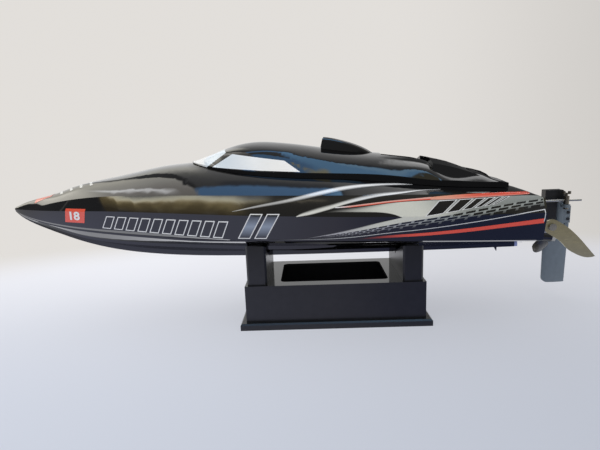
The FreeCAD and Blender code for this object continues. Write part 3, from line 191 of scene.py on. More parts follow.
class Nodes(Tree):
    """A material's tree."""

    def __init__(self, name):
        self.material = bpy.data.materials.new(name)
        self.material.use_nodes = True
        super().__init__(self.material.node_tree)
        self.shader = self.tree.nodes["Principled BSDF"]
        self.output = self.tree.nodes["Material Output"]

    def set(self, **inputs):
        for key, value in inputs.items():
            self.feed(value, self.shader.inputs[key.replace("_", " ")])

    def place(self, stretch=(1, 1, 1)):
        """Object coordinates in metres, stretched."""
        coords = self.node("ShaderNodeTexCoord")
        return self.add("ShaderNodeMapping", Scale=stretch, Vector=coords.outputs["Object"]).outputs["Vector"]

    def noise(self, scale, detail=3.0, stretch=(1, 1, 1)):
        node = self.add("ShaderNodeTexNoise", Scale=scale, Detail=detail, Vector=self.place(stretch))
        return node.outputs["Fac"]

    def bump(self, height, strength, distance):
        node = self.add("ShaderNodeBump", Strength=strength, Distance=distance, Height=height)
        self.link(node.outputs["Normal"], self.shader.inputs["Normal"])


# ---------------------------------------------------------------- materials
BLOTCH = 0.12                               # colour drifts at this share of the grain's frequency
POLISHED_FROM, POLISHED_TO = 0.012, 0.016   # ledges above this height are polished, metres
LEDGE_FROM, LEDGE_TO = 0.90, 0.98           # how much a face looks up before it counts as a ledge
COAT_ROUGH = 0.03
WEAVE_DARK, WEAVE_BUMP, WEAVE_DEPTH = 0.5, 0.6, 0.0002
STRAP_THREAD = 0.0009


def surface(name, colour, rough, metal=0.0, vary=0.12, rough_vary=0.15, grain=900.0, stretch=(1, 1, 1),
            bump=0.0, depth=0.0001, coat=0.0, ior=1.5, polished_top=None):
    """A finish whose colour, gloss and fine relief drift a little, as on the real surface."""
    n = Nodes(name)
    low = [c * (1 - vary) for c in colour]
    high = [min(1.0, c * (1 + vary)) for c in colour]
    fine = n.noise(grain, stretch=stretch)
    gloss = n.ramp(fine, [(0.3, grey(max(0.02, rough * (1 - rough_vary)))),
                          (0.7, grey(min(1.0, rough * (1 + rough_vary))))])
    if polished_top is not None:
        up = n.axes(n.node("ShaderNodeNewGeometry").outputs["Normal"])[2]
        height = n.axes(n.place())[2]
        top = n.both(n.rise(up, LEDGE_FROM, LEDGE_TO), n.rise(height, POLISHED_FROM, POLISHED_TO))
        gloss = n.blend(top, gloss, grey(polished_top))
    n.set(Base_Color=n.ramp(n.noise(grain * BLOTCH, 2.0), [(0.3, low), (0.7, high)]), Roughness=gloss,
          Metallic=metal, IOR=ior, Coat_Weight=coat, Coat_Roughness=COAT_ROUGH)
    if bump:
        n.bump(fine, bump, depth)
    return n.material


def woven(name, colour, thread):
    """Plain weave with threads of the given width."""
    n = Nodes(name)
    waves = []
    for direction in ("X", "Y"):
        wave = n.add("ShaderNodeTexWave", Scale=1.0 / thread, Distortion=0.0, Vector=n.place())
        wave.bands_direction = direction
        waves.append(wave.outputs["Fac"])
    weave = n.both(*waves)
    # painted shade: the colour darkens to half where the weave is low, in the gaps between threads
    n.set(Base_Color=n.ramp(weave, [(0.0, [c * WEAVE_DARK for c in colour]), (0.8, colour)]), Roughness=0.85)
    n.bump(weave, WEAVE_BUMP, WEAVE_DEPTH)
    return n.material


def printed_film(name):
    """Glossy printed film: its colours are in the mesh, with a fine metallic grain."""
    n = Nodes(name)
    tint = n.node("ShaderNodeAttribute")
    tint.attribute_name = "tint"
    grain = n.ramp(n.noise(2600, 2.0), [(0.35, grey(0.90)), (0.65, grey(1.0))])
    n.set(Base_Color=n.multiply(tint.outputs["Color"], grain), Roughness=0.06, IOR=1.5)
    return n.material


def window_with_painted_reflection(name):
    """Silvered glazing with a painted reflection of sky in its colour: grey at its foremost edge, then pale
    blue, and whiter aft.
    """
    n = Nodes(name)
    drift = n.line(n.noise(60, 2.0), 0.012, n.axes(n.place())[0])
    # painted reflection: the base colour turns from grey to the pale blue of a mirrored sky, and whiter aft
    tone = n.blend(n.rise(drift, -0.088, -0.030), (0.62, 0.70, 0.77), (0.93, 0.93, 0.91))
    tone = n.blend(n.rise(drift, -0.090, -0.098), tone, (0.68, 0.68, 0.66))
    n.set(Base_Color=tone, Roughness=n.ramp(n.noise(900), [(0.3, grey(0.10)), (0.7, grey(0.16))]))
    return n.material


# colour, roughness, metal, then what departs from surface()'s usual values
FINISHES = {
    "hull_paint": (BLACK, 0.035, 0.0, dict(vary=0.2, grain=260, bump=0.012)),
    "stand_plastic": ((0.011, 0.0115, 0.0135), 0.36, 0.0,
                      dict(grain=1500, bump=0.05, ior=1.40, polished_top=0.07)),
    "stand_plate": ((0.012, 0.012, 0.014), 0.6, 0.0, dict(grain=1200, bump=0.1)),
    "pad_foam": ((0.02, 0.02, 0.022), 0.85, 0.0, dict(grain=2600, bump=0.5, depth=0.0003)),
    "steel": ((0.34, 0.335, 0.32), 0.24, 1.0, dict(grain=1800, stretch=(0.2, 1, 1), bump=0.05)),
    "dark_steel": ((0.05, 0.05, 0.055), 0.35, 0.8, dict(grain=1800, bump=0.05)),
    "seal_rubber": (grey(0.012), 0.6, 0.0, dict(grain=1600, bump=0.15)),
    "magnet": ((0.5, 0.5, 0.52), 0.18, 1.0, {}),
    "brass": ((0.62, 0.44, 0.19), 0.25, 1.0, dict(grain=1500, bump=0.05)),
    "aluminium": ((0.52, 0.53, 0.55), 0.3, 1.0, dict(grain=1600, stretch=(1, 0.2, 1), bump=0.06)),
    "prop_plastic": ((0.006, 0.006, 0.008), 0.22, 0.0, dict(bump=0.05)),
    "motor_paint": ((0.02, 0.02, 0.024), 0.28, 0.3, dict(grain=1200, bump=0.08)),
    "copper": ((0.5, 0.19, 0.08), 0.35, 0.8, dict(grain=2500, stretch=(0.15, 1, 1), bump=0.4)),
    "fitting_plastic": ((0.014, 0.014, 0.016), 0.5, 0.0, dict(grain=1800, bump=0.15)),
    "jacket_blue": ((0.06, 0.16, 0.5), 0.26, 1.0, dict(grain=1500, bump=0.05)),
    "bracket_plastic": ((0.006, 0.0065, 0.008), 0.34, 0.0, dict(grain=2000, bump=0.12)),
    "slate_plastic": ((0.145, 0.178, 0.212), 0.42, 0.0, dict(grain=2200, vary=0.06, bump=0.1)),
    "brass_nickel": ((0.26, 0.24, 0.20), 0.25, 1.0, dict(grain=1500)),
    "case_plastic": ((0.014, 0.014, 0.016), 0.42, 0.0, dict(grain=2000, bump=0.12)),
    "horn_plastic": ((0.74, 0.74, 0.71), 0.45, 0.0, dict(grain=1500, bump=0.06)),
    "fin_metal": ((0.44, 0.40, 0.25), 0.3, 1.0,
                  dict(grain=2600, stretch=(0.06, 1, 1), vary=0.05, rough_vary=0.12, bump=0.02)),
    "battery_wrap": ((0.03, 0.09, 0.32), 0.3, 0.0, dict(grain=500, bump=0.1, coat=0.3)),
    "float_foam": ((0.76, 0.76, 0.72), 0.9, 0.0, dict(grain=700, bump=0.6, depth=0.0006)),
}


def make_materials():
    made = {}
    for name, (colour, rough, metal, rest) in FINISHES.items():
        made[name] = surface(name, colour, rough, metal, **rest)
    made["window_silver"] = window_with_painted_reflection("window_silver")
    made["strap_web"] = woven("strap_web", (0.04, 0.04, 0.045), STRAP_THREAD)
    made["printed_film"] = printed_film("printed_film")
    return made


# ---------------------------------------------------------------- stage and light
WALL = (0.76, 0.735, 0.705)
WALL_SHADE = (0.62, 0.60, 0.575)
FLOOR_HALF, FLOOR_DROP = 3.0, -0.00005
TABLE_NEAR, TABLE_FAR = (0.60, 0.635, 0.72), (0.83, 0.835, 0.88)
TABLE_SQUEEZE, TABLE_FADE_FROM, TABLE_FADE_TO = (1.6, 3.0, 0), 0.62, 1.02
# how much of the table shows its own plain colour, not the light on it, in the view and in reflections
OWN_SEEN, OWN_MIRRORED = 0.66, 0.95
# how bright that colour is, and how much more so in reflections
OWN_LEVEL, OWN_MIRRORED_EXTRA = 1.08, 0.35
MIRROR_STRENGTH, SOFT_STRENGTH = 8.5, 0.80
SOFT_COLOUR = (0.97, 0.98, 1.0, 1)


def wall_colour(t, across, depth):
    """The wall's colour, with painted shade that makes it a little darker to the right of the line of sight.
    """
    ratio = t.math("DIVIDE", across, t.math("MAXIMUM", depth, 0.05))
    return t.blend(t.rise(ratio, 0.15, 0.75), WALL, WALL_SHADE)


def make_floor():
    """A pale table that fades into the wall behind it and keeps the object's shadow."""
    mesh = bpy.data.meshes.new("floor")
    corners = ((-1, -1), (1, -1), (1, 1), (-1, 1))
    mesh.from_pydata([(x * FLOOR_HALF, y * FLOOR_HALF, FLOOR_DROP) for x, y in corners], [], [(0, 1, 2, 3)])
    floor = bpy.data.objects.new("floor", mesh)
    scene.collection.objects.link(floor)
    n = Nodes("floor")
    x, y, _ = n.axes(n.place())
    # painted shade: the table's colour is darker and bluer at the front and darker to the right
    tint = n.multiply(n.blend(n.rise(y, -0.22, 0.20), TABLE_NEAR, TABLE_FAR),
                      n.blend(n.rise(x, -0.25, 0.25), grey(1.0), grey(0.80)))
    n.set(Base_Color=tint, Roughness=0.9, Specular_IOR_Level=0.1)
    path = n.node("ShaderNodeLightPath")
    seen, mirrored = path.outputs["Is Camera Ray"], path.outputs["Is Glossy Ray"]
    # beyond the table's front edge the room is dark in reflections
    front = n.both(mirrored, n.rise(y, -0.30, -0.46))
    depth = n.math("ADD", n.math("ABSOLUTE", y), 0.38)
    room = n.blend(front, wall_colour(n, x, depth), grey(0.10))
    wall = n.add("ShaderNodeEmission", Color=room, Strength=1.0)
    # the table's own colour softens the shadow in the view; mirrored in the hull it is cooler and darker aft
    aside = n.ramp(n.line(x, 2.0, 0.5), [(0.3, (0.68, 0.71, 0.96)), (0.5, (0.52, 0.52, 0.70)),
                                         (0.62, (0.26, 0.28, 0.50)), (0.8, (0.14, 0.18, 0.40))])
    behind = n.rise(y, -0.06, -0.02)
    shown = n.blend(n.both(mirrored, n.minus(1.0, behind)), tint, aside)
    own = n.add("ShaderNodeEmission", Color=shown, Strength=n.line(mirrored, OWN_MIRRORED_EXTRA, OWN_LEVEL))
    share = n.math("MAXIMUM", n.math("MULTIPLY", seen, OWN_SEEN), n.math("MULTIPLY", mirrored, OWN_MIRRORED))
    table = n.choose(share, n.shader.outputs["BSDF"], own.outputs["Emission"])
    # an oval of table, longer across the view than into it, fades into the wall
    oval = n.add("ShaderNodeVectorMath", Vector=n.place(TABLE_SQUEEZE))
    oval.operation = "LENGTH"
    far = n.rise(oval.outputs["Value"], TABLE_FADE_FROM, TABLE_FADE_TO)
    n.link(n.choose(far, table, wall.outputs["Emission"]), n.output.inputs["Surface"])
    mesh.materials.append(n.material)


# What gloss surfaces mirror is a made-up room. Its colour depends on a direction alone: x is -1 towards the
# bow and 1 towards the stern, and turn is in degrees over the top, 0 at the open side and 180 at the wall.
# The open sky's upper edge, as x and turn
SKY_EDGE = [(-0.5, 70), (-0.36, 89), (-0.2, 97.5), (-0.1, 102), (0.0, 106), (0.07, 109), (0.095, 109),
            (0.125, 91), (0.155, 80), (0.22, 77.5), (0.31, 76), (0.4, 68), (0.5, 62)]
# colours by degrees past that edge
CEILING = [(0, (0.040, 0.045, 0.055)), (4, (0.048, 0.05, 0.055)), (8, grey(0.08)), (20, grey(0.10)),
           (50, grey(0.115)), (100, grey(0.10))]
# colours by turn
CEILING_AHEAD = [(90, grey(0.06)), (105, grey(0.08)), (115, (0.12, 0.12, 0.11)), (122, (0.20, 0.195, 0.18)),
                 (130, (0.28, 0.275, 0.25)), (150, grey(0.20)), (175, grey(0.12)), (180, grey(0.12))]
BOW_WALL = [(70, grey(0.12)), (82, (0.24, 0.225, 0.205)), (90, (0.30, 0.285, 0.265)),
            (102, (0.36, 0.35, 0.32)), (125, (0.33, 0.32, 0.28)), (135, (0.25, 0.24, 0.21)),
            (150, (0.18, 0.175, 0.16)), (175, grey(0.11)), (180, grey(0.11))]
# colours by degrees over the ground's far edge
SUNNY = [(-4, grey(0.03)), (-2.9, (0.04, 0.037, 0.032)), (-2.4, (0.13, 0.108, 0.068)),
         (-1.7, (0.23, 0.185, 0.092)), (-0.9, (0.36, 0.285, 0.140)), (-0.60, (0.60, 0.50, 0.30)),
         (-0.35, (1.0, 0.93, 0.68)), (0.1, (0.85, 0.82, 0.66)), (0.6, grey(0.2)), (1, grey(0.2))]
FADING = [(-4, grey(0.03)), (-1.4, (0.055, 0.048, 0.036)), (-0.8, (0.11, 0.095, 0.06)),
          (-0.4, (0.50, 0.46, 0.33)), (0.0, (0.25, 0.26, 0.26)), (0.6, grey(0.1)), (1, grey(0.1))]
SHADE = [(-4, grey(0.03)), (-1.0, (0.045, 0.042, 0.036)), (-0.2, (0.07, 0.066, 0.055)), (0.4, grey(0.05)),
         (1, grey(0.05))]
HALF_TURN = 180.0


def sky_colour(t, x, turn):
    """Open sky up to its curved edge, and the dim ceiling past it."""
    edge = t.spread(x, [(place, grey(end / HALF_TURN)) for place, end in SKY_EDGE])
    past = t.minus(turn, t.math("MULTIPLY", edge, HALF_TURN))
    blue = t.blend(t.rise(x, 0.04, 0.10), (0.100, 0.198, 0.355), (0.150, 0.300, 0.49))
    pale = t.both(t.rise(past, -8, -3), t.rise(x, 0.13, 0.17))
    blue = t.blend(t.math("MULTIPLY", pale, 0.5), blue, (0.28, 0.44, 0.58))
    ceiling = t.blend(t.rise(x, -0.22, -0.29), t.spread(past, CEILING), t.spread(turn, CEILING_AHEAD))
    # lit over the stern, and black beyond
    lit = t.both(t.rise(x, 0.25, 0.31), t.rise(turn, 85, 105), t.rise(turn, 142, 132))
    ceiling = t.blend(lit, ceiling, grey(0.34))
    ceiling = t.blend(t.both(t.rise(x, 0.20, 0.27), t.rise(turn, 138, 146)), ceiling, grey(0.01))
    sky = t.blend(t.rise(past, -2.2, 1.8), blue, ceiling)
    # dim between the low window and the higher one
    between = t.both(t.rise(turn, 66, 69), t.rise(t.minus(t.line(x, 42.0, 97.8), turn), 0, 2),
                     t.rise(x, 0.08, 0.03))
    return t.blend(between, sky, grey(0.06))


def with_bow_wall(t, x, turn, sky):
    """A pale wall ahead of the bow, parted from the rest by a dark curved beam."""
    wall = t.blend(t.both(t.rise(x, -0.62, -0.74), t.rise(turn, 134, 122)), t.spread(turn, BOW_WALL),
                   (0.55, 0.53, 0.47))
    near = t.line(t.rise(turn, 98, 123), -0.15, -0.380)
    far = t.line(t.rise(turn, 108, 140), -0.155, -0.360)
    sky = t.blend(t.rise(t.minus(x, near), 0.012, -0.012), sky, wall)
    beam = t.both(t.rise(t.minus(x, near), -0.014, 0.010), t.rise(t.minus(far, x), -0.016, 0.012),
                  t.rise(turn, 88, 92))
    return t.blend(beam, sky, grey(0.028))


def ground_colour(t, direction, x, turn):
    """Sunlit ground, brightest along its far edge, which fades into shade towards the stern."""
    ahead = t.math("MINIMUM", x, 0.0)
    crest = t.line(t.math("MULTIPLY", ahead, ahead), 28.0, 29.15)
    swell = t.both(t.rise(x, -0.34, -0.20), t.rise(x, 0.12, -0.08))
    over = t.minus(turn, t.line(swell, 0.75, crest))
    stretched = t.add("ShaderNodeMapping", Scale=(5, 5, 22), Vector=direction)
    noise = t.add("ShaderNodeTexNoise", Scale=2.2, Detail=5.0, Vector=stretched.outputs["Vector"])
    clumps = t.both(t.rise(noise.outputs["Fac"], 0.60, 0.42), t.rise(over, -0.4, -1.0))
    sunny = t.spread(over, SUNNY)
    sunny = t.blend(clumps, sunny, t.blend(0.55, sunny, (0.07, 0.05, 0.02)))
    ground = t.blend(t.rise(x, -0.27, -0.37), t.spread(over, FADING), sunny)
    ground = t.blend(t.rise(x, -0.27, -0.18), ground, t.spread(over, SHADE))
    # amidships a thin light line is all that is left of the far edge
    thread = t.both(t.rise(t.math("ABSOLUTE", t.math("ADD", over, 0.22)), 0.16, 0.04),
                    t.rise(x, -0.20, -0.12), t.rise(x, 0.03, -0.01))
    ground = t.blend(thread, ground, (0.26, 0.23, 0.17))
    return t.blend(t.rise(x, -0.785, -0.797), ground, grey(0.022))


def with_marks(t, x, turn, room):
    """A warm glint low amidships, and dark patches low at the stern and the bow."""
    glint = t.both(t.rise(t.minus(t.line(x, 85.0, 55.5), turn), 0.0, 1.4), t.rise(x, 0.0, 0.015),
                   t.rise(x, 0.115, 0.09), t.rise(turn, 49, 51))
    room = t.blend(glint, room, (0.33, 0.31, 0.21))
    stern = t.both(t.rise(x, 0.335, 0.355), t.rise(turn, 67, 62), t.rise(turn, 44, 48))
    room = t.blend(stern, room, (0.07, 0.065, 0.045))
    bow = t.both(t.rise(x, -0.815, -0.84), t.rise(turn, 100, 94), t.rise(turn, 50, 53))
    return t.blend(bow, room, grey(0.022))


def with_streak(t, x, turn, room):
    """A bright streak that bends upwards towards the bow."""
    bend = t.math("MAXIMUM", t.minus(-0.48, x), 0.0)
    centre = t.line(t.math("MULTIPLY", bend, bend), 800.0, 84.7)
    width = t.line(t.math("MAXIMUM", t.minus(-0.5, x), 0.0), 30.0, 3.2)
    off = t.math("DIVIDE", t.math("ABSOLUTE", t.minus(turn, centre)), width)
    streak = t.both(t.rise(off, 1.0, 0.0), t.rise(x, -0.68, -0.61), t.rise(x, -0.43, -0.50))
    return t.blend(streak, room, grey(0.9))


def make_world():
    """A pale wall for the camera, soft even light, and the made-up room for reflections."""
    world = bpy.data.worlds.new("world")
    scene.world = world
    world.use_nodes = True
    t = Tree(world.node_tree)
    direction = t.node("ShaderNodeTexCoord").outputs["Generated"]
    x, y, z = t.axes(direction)
    turn = t.math("MULTIPLY", t.math("ARCTAN2", z, t.math("MULTIPLY", y, -1.0)), HALF_TURN / math.pi)
    room = with_bow_wall(t, x, turn, sky_colour(t, x, turn))
    room = t.blend(t.rise(turn, 53.0, 51.0), room, ground_colour(t, direction, x, turn))
    room = with_streak(t, x, turn, with_marks(t, x, turn, room))
    mirror = t.add("ShaderNodeBackground", Color=room, Strength=MIRROR_STRENGTH)
    even = t.tree.nodes["Background"]
    even.inputs["Color"].default_value = SOFT_COLOUR
    even.inputs["Strength"].default_value = SOFT_STRENGTH
    wall = t.add("ShaderNodeBackground", Color=wall_colour(t, x, t.math("ABSOLUTE", y)), Strength=1.0)
    path = t.node("ShaderNodeLightPath")
    light = t.choose(path.outputs["Is Glossy Ray"], even.outputs["Background"], mirror.outputs["Background"])
    shown = t.choose(path.outputs["Is Camera Ray"], light, wall.outputs["Background"])
    t.link(shown, t.tree.nodes["World Output"].inputs["Surface"])


def area_light(name, place, target, size, power, colour=(1, 1, 1)):
    data = bpy.data.lights.new(name, "AREA")
    data.shape, data.size, data.size_y = "RECTANGLE", size[0], size[1]
    data.energy, data.color = power, colour
    lamp = bpy.data.objects.new(name, data)
    scene.collection.objects.link(lamp)
    lamp.location = place
    lamp.rotation_euler = (Vector(target) - Vector(place)).to_track_quat("-Z", "Y").to_euler()
    lamp.visible_glossy = False


def make_lights():
    area_light("overhead", (0.0, 0.1, 1.5), (0, 0, 0.05), (2.4, 1.8), 6.5)
    area_light("side", (-1.3, -0.8, 0.9), (0, 0, 0.1), (1.4, 1.2), 3.0, (0.97, 0.98, 1.0))


# ---------------------------------------------------------------- printed film on the hull
# heights over the paint in mm: a later print lies over an earlier one, and all reach just under the paint
PANEL_LAYER, SWOOSH_LAYER, RED_LAYER, TRIM_LAYER, FILL_LAYER, DIGIT_LAYER = 0.10, 0.12, 0.14, 0.16, 0.24, 0.26
FILM_ROOT, DIGIT_ROOT = -0.04, 0.10
RAY_SIDE, RAY_TOP = 0.15, 0.2       # where rays towards the hull start, metres
DIP_STEP, DIP_LIMIT = 0.4, 6        # a ray that passes over the deck's edge tries again this much lower, mm


class Skin:
    """The painted outside of some CAD nodes, found by rays, with their exact shading normals."""

    def __init__(self, names):
        self.points, self.faces, self.normals = [], [], []
        for name in names:
            mesh = nodes[name].data
            mesh.calc_loop_triangles()
            start = len(self.points)
            self.points += [v.co.copy() for v in mesh.vertices]
            for face in mesh.loop_triangles:
                self.faces.append([start + i for i in face.vertices])
                self.normals.append([mesh.corner_normals[i].vector.copy() for i in face.loops])
        self.tree = BVHTree.FromPolygons(self.points, self.faces)

    def hit(self, origin, direction):
        place, _, index, _ = self.tree.ray_cast(Vector(origin), Vector(direction))
        if place is None:
            return None
        corners = [self.points[i] for i in self.faces[index]]
        return place, barycentric_transform(place, *corners, *self.normals[index]).normalized()

    def from_side(self, x, z, side):
        return self.hit((x * MM, side * RAY_SIDE, z * MM), (0, -side, 0))

    def from_above(self, x, y):
        return self.hit((x * MM, y * MM, RAY_TOP), (0, 0, -1))


def turned_in(found, loop, height):
    """Whether a loop of found places, raised by a height, faces into the hull."""
    a, b, c = (found[k][0] + found[k][1] * height for k in loop[:3])
    return (b - a).cross(c - b).dot(found[loop[0]][1]) < 0


class Film:
    """Thin printed film built from several patches, closed all round."""

    def __init__(self, skin):
        self.skin = skin
        self.points, self.faces, self.shading, self.tints = [], [], [], []

    def shell(self, found, loops, top, root):
        """A closed shell over found places and normals: the loops at two heights, and a rim round them."""
        start, count = len(self.points), len(found)
        for height, sign in ((top, 1), (root, -1)):
            for place, normal, tint in found:
                self.points.append(place + normal * height)
                self.shading.append(normal * sign)
                self.tints.append((*tint, 1))
        edges = {}
        for loop in loops:
            self.faces.append([start + k for k in loop])
            self.faces.append([start + count + k for k in loop[::-1]])
            edges.update(dict.fromkeys(zip(loop, loop[1:] + loop[:1])))
        for first, last in edges:
            if (last, first) not in edges:
                self.faces.append([start + last, start + first, start + count + first, start + count + last])

    def patch(self, grid, tint, side, layer):
        """grid: rows of (X, Z) in mm as seen from a side, or of (X, Y) from above where side is None.
        tint: a colour, or a function of the place along and across the patch."""
        rows, columns = len(grid), len(grid[0])
        found = []
        for i, row in enumerate(grid):
            for j, (a, b) in enumerate(row):
                hit, dip = None, 0.0
                while hit is None and dip < DIP_LIMIT:
                    if side is None:
                        hit = self.skin.from_above(a, b)
                    else:
                        hit = self.skin.from_side(a, b - dip, side)
                    dip += DIP_STEP
                if hit is None:
                    return
                found.append((*hit, tint(j / (columns - 1), i / (rows - 1)) if callable(tint) else tint))
        quads = [[i * columns + j, i * columns + j + 1, (i + 1) * columns + j + 1, (i + 1) * columns + j]
                 for i in range(rows - 1) for j in range(columns - 1)]
        if turned_in(found, quads[0], layer * MM):
            quads = [quad[::-1] for quad in quads]
        self.shell(found, quads, layer * MM, FILM_ROOT * MM)

    def finish(self, name):
        mesh = bpy.data.meshes.new(name)
        mesh.from_pydata(self.points, [], self.faces)
        for polygon in mesh.polygons:
            polygon.use_smooth = True
        attribute = mesh.color_attributes.new(name="tint", type="FLOAT_COLOR", domain="POINT")
        for k, colour in enumerate(self.tints):
            attribute.data[k].color = colour
        mesh.normals_split_custom_set_from_vertices(self.shading)
        mesh.materials.append(MATERIALS["printed_film"])
        piece = bpy.data.objects.new(name, mesh)
        scene.collection.objects.link(piece)
        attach(piece, "hull")


# ---------------------------------------------------------------- lines and fields of the livery
def along(line, share):
    """The point at a share of a polyline's length."""
    lengths = [math.dist(a, b) for a, b in zip(line, line[1:])]
    left = share * sum(lengths)
    for (a, b), length in zip(zip(line, line[1:]), lengths):
        if left <= length or b is line[-1]:
            f = min(1.0, left / length)
            return tuple(p + (q - p) * f for p, q in zip(a, b))
        left -= length


def level(line, x):
    """The height of a polyline at x."""
    for (x0, z0), (x1, z1) in zip(line, line[1:]):
        if x <= x1 or (x1, z1) == line[-1]:
            return z0 + (z1 - z0) * (x - x0) / (x1 - x0)


def round_off(line, turns=2):
    """Cuts the corners of a polyline a few times, so that it reads as a curve."""
    for _ in range(turns):
        cut = [line[0]]
        for (x0, z0), (x1, z1) in zip(line, line[1:]):
            cut += [(x0 * 0.75 + x1 * 0.25, z0 * 0.75 + z1 * 0.25),
                    (x0 * 0.25 + x1 * 0.75, z0 * 0.25 + z1 * 0.75)]
        line = cut + [line[-1]]
    return line


def band(top, low, step=2.0, across=1.0):
    """Grid between two polylines that are cut at even shares of their length."""
    top, low = round_off(top), round_off(low)
    length = max(sum(math.dist(a, b) for a, b in zip(line, line[1:])) for line in (top, low))
    columns = max(2, int(length / step))
    gap = max(math.dist(along(top, s / 4), along(low, s / 4)) for s in range(5))
    rows = max(1, math.ceil(gap / across))
    ends = [(along(top, j / columns), along(low, j / columns)) for j in range(columns + 1)]
    return [[tuple(p + (q - p) * i / rows for p, q in zip(*pair)) for pair in ends] for i in range(rows + 1)]


def quad_grid(corners, s0=0, s1=1, t0=0, t1=1, step=0.8):
    """Part of a slanted four-cornered field: corners are top left, top right, low left, low right."""
    tl, tr, bl, br = corners

    def spot(s, t):
        top = [p + (q - p) * s for p, q in zip(tl, tr)]
        low = [p + (q - p) * s for p, q in zip(bl, br)]
        return tuple(p + (q - p) * t for p, q in zip(top, low))

    wide = math.dist(spot(s0, t0), spot(s1, t0))
    tall = math.dist(spot(s0, t0), spot(s0, t1))
    columns, rows = max(1, math.ceil(wide / step)), max(1, math.ceil(tall / step))
    return [[spot(s0 + (s1 - s0) * j / columns, t0 + (t1 - t0) * i / rows) for j in range(columns + 1)]
            for i in range(rows + 1)]


def mix(first, second, share):
    share = min(1.0, max(0.0, share))
    return tuple(p + (q - p) * share for p, q in zip(first, second))


def soft(value, low, high):
    """Smooth step."""
    f = min(1.0, max(0.0, (value - low) / (high - low)))
    return f * f * (3 - 2 * f)


# (X, Z) in mm, bow first; a pair holds a field's upper and lower edge
SWOOSH_1 = ([(-74.4, 98.5), (-53.7, 103.0), (-35.4, 106.0), (-24.5, 108.4), (-9.9, 111.1), (5.0, 113.2),
             (20.0, 113.9), (35.2, 113.6), (50.7, 112.8), (60, 111.6)],
            [(-74.4, 98.2), (-53.7, 100.7), (-35.5, 103.0), (-24.6, 104.8), (-10.1, 107.6), (4.5, 109.9),
             (19.5, 111.4), (34.6, 112.0), (50, 111.6), (60, 111.2)])
SWOOSH_2 = ([(-27.8, 94.0), (-24.9, 96.0), (-17.6, 98.3), (-10.4, 100.2), (-3.1, 101.6), (7.7, 104.2),
             (15, 105.9), (22.3, 107.3), (29.7, 108.1), (37.1, 108.4), (48.1, 108.4), (63.4, 108.6),
             (79, 108.1)],
            [(-27.8, 93.6), (-24.9, 93.7), (-17.7, 94.5), (-10.5, 96.1), (-3.3, 97.9), (7.6, 101.0),
             (14.8, 102.5), (22, 103.9), (29.3, 105.2), (36.5, 106.1), (47.4, 106.8), (63, 108.1),
             (79, 107.9)])
THIN_RED = ([(0.4, 99.5), (11.1, 100.1), (25.5, 101.4), (39.9, 102.6), (50, 103.1), (61.5, 103.7),
             (69, 104.1)],
            [(0.4, 98.9), (11.1, 99.0), (25.4, 100.0), (39.8, 101.3), (49.9, 101.8), (61.3, 102.1),
             (69, 102.2)])
TOP_RED = ([(69, 104.0), (79.5, 104.6), (99.7, 105.3), (124.6, 105.0), (139, 104.4), (145, 103.4)],
           [(69, 102.2), (79.3, 101.9), (99.5, 102.4), (123.4, 102.9), (135.2, 103.2), (142, 103.3)])
LOW_RED = ([(14.5, 75.2), (39.9, 77.4), (65, 78.1), (94, 80.2), (123, 83.0), (151, 85.7)],
           [(14.5, 74.6), (39.9, 75.5), (65, 75.9), (94, 77.5), (124, 80.2), (151, 82.2)])
WEDGE = ([(-9.1, 96.3), (0.3, 98.0), (14.7, 98.6), (25.4, 99.5), (39.8, 100.9), (48, 101.4)],
         [(-9.1, 95.6), (0.2, 96.1), (14.5, 95.6), (25.2, 95.2), (32.3, 94.8), (38, 94.0), (42.9, 92.8),
          (48, 90.6)])
GLOW = ([(-24, 76.6), (-7.3, 79.2), (3.6, 81.3), (18, 84.3), (25.2, 86.0), (32.3, 87.5), (39.4, 88.9),
         (48, 90.6)],
        [(-24, 76.3), (-7.3, 78.2), (3.6, 79.6), (18.1, 81.7), (32.4, 84.2), (48, 86.9)])
PANEL_START = 48
PANEL_TOP = [(48, 101.4), (57, 101.6), (68, 101.8), (86, 101.6), (105, 102.0), (123, 102.6), (142, 102.5),
             (151, 101.2)]
CHECK_TOP = [(-10, 78.0), (3.6, 79.6), (18, 81.7), (32, 84.2), (48, 86.9), (61, 88.6), (75, 90.2),
             (104, 94.6), (133, 98.4), (151, 99.8)]
CHECK_LOW = [(-10, 76.6), (18, 78.4), (43, 81.6), (61, 83.3), (75, 84.9), (104, 88.6), (133, 93.0),
             (151, 94.6)]
THIN_WHITE = [(-49, 76.0), (-34, 76.2), (-4, 75.8), (18, 77.2), (40, 79.5), (65, 81.2), (108, 86.3),
              (137, 90.9), (151, 92.5)]
STERN_WHITE = ([(151.0, 92.4), (151.6, 88.0), (151.2, 83.4)], [(150.4, 91.8), (151.0, 88.0), (150.6, 83.4)])

CHECK_ROWS = ((0.04, 0.27), (0.38, 0.62), (0.72, 1.0))     # shares of the way from CHECK_TOP to CHECK_LOW
CHECK_START, CHECK_STOP, CHECK_END = -6.0, 148, 150.5      # first check, last start and last end
CHECK_LEAN, CHECK_FILL = 2.6, 0.76                         # mm aft from row to row, and share of the pitch
CHECK_PITCH, CHECK_GROWTH = 3.8, 5.4                       # mm between checks, and how much more at the stern

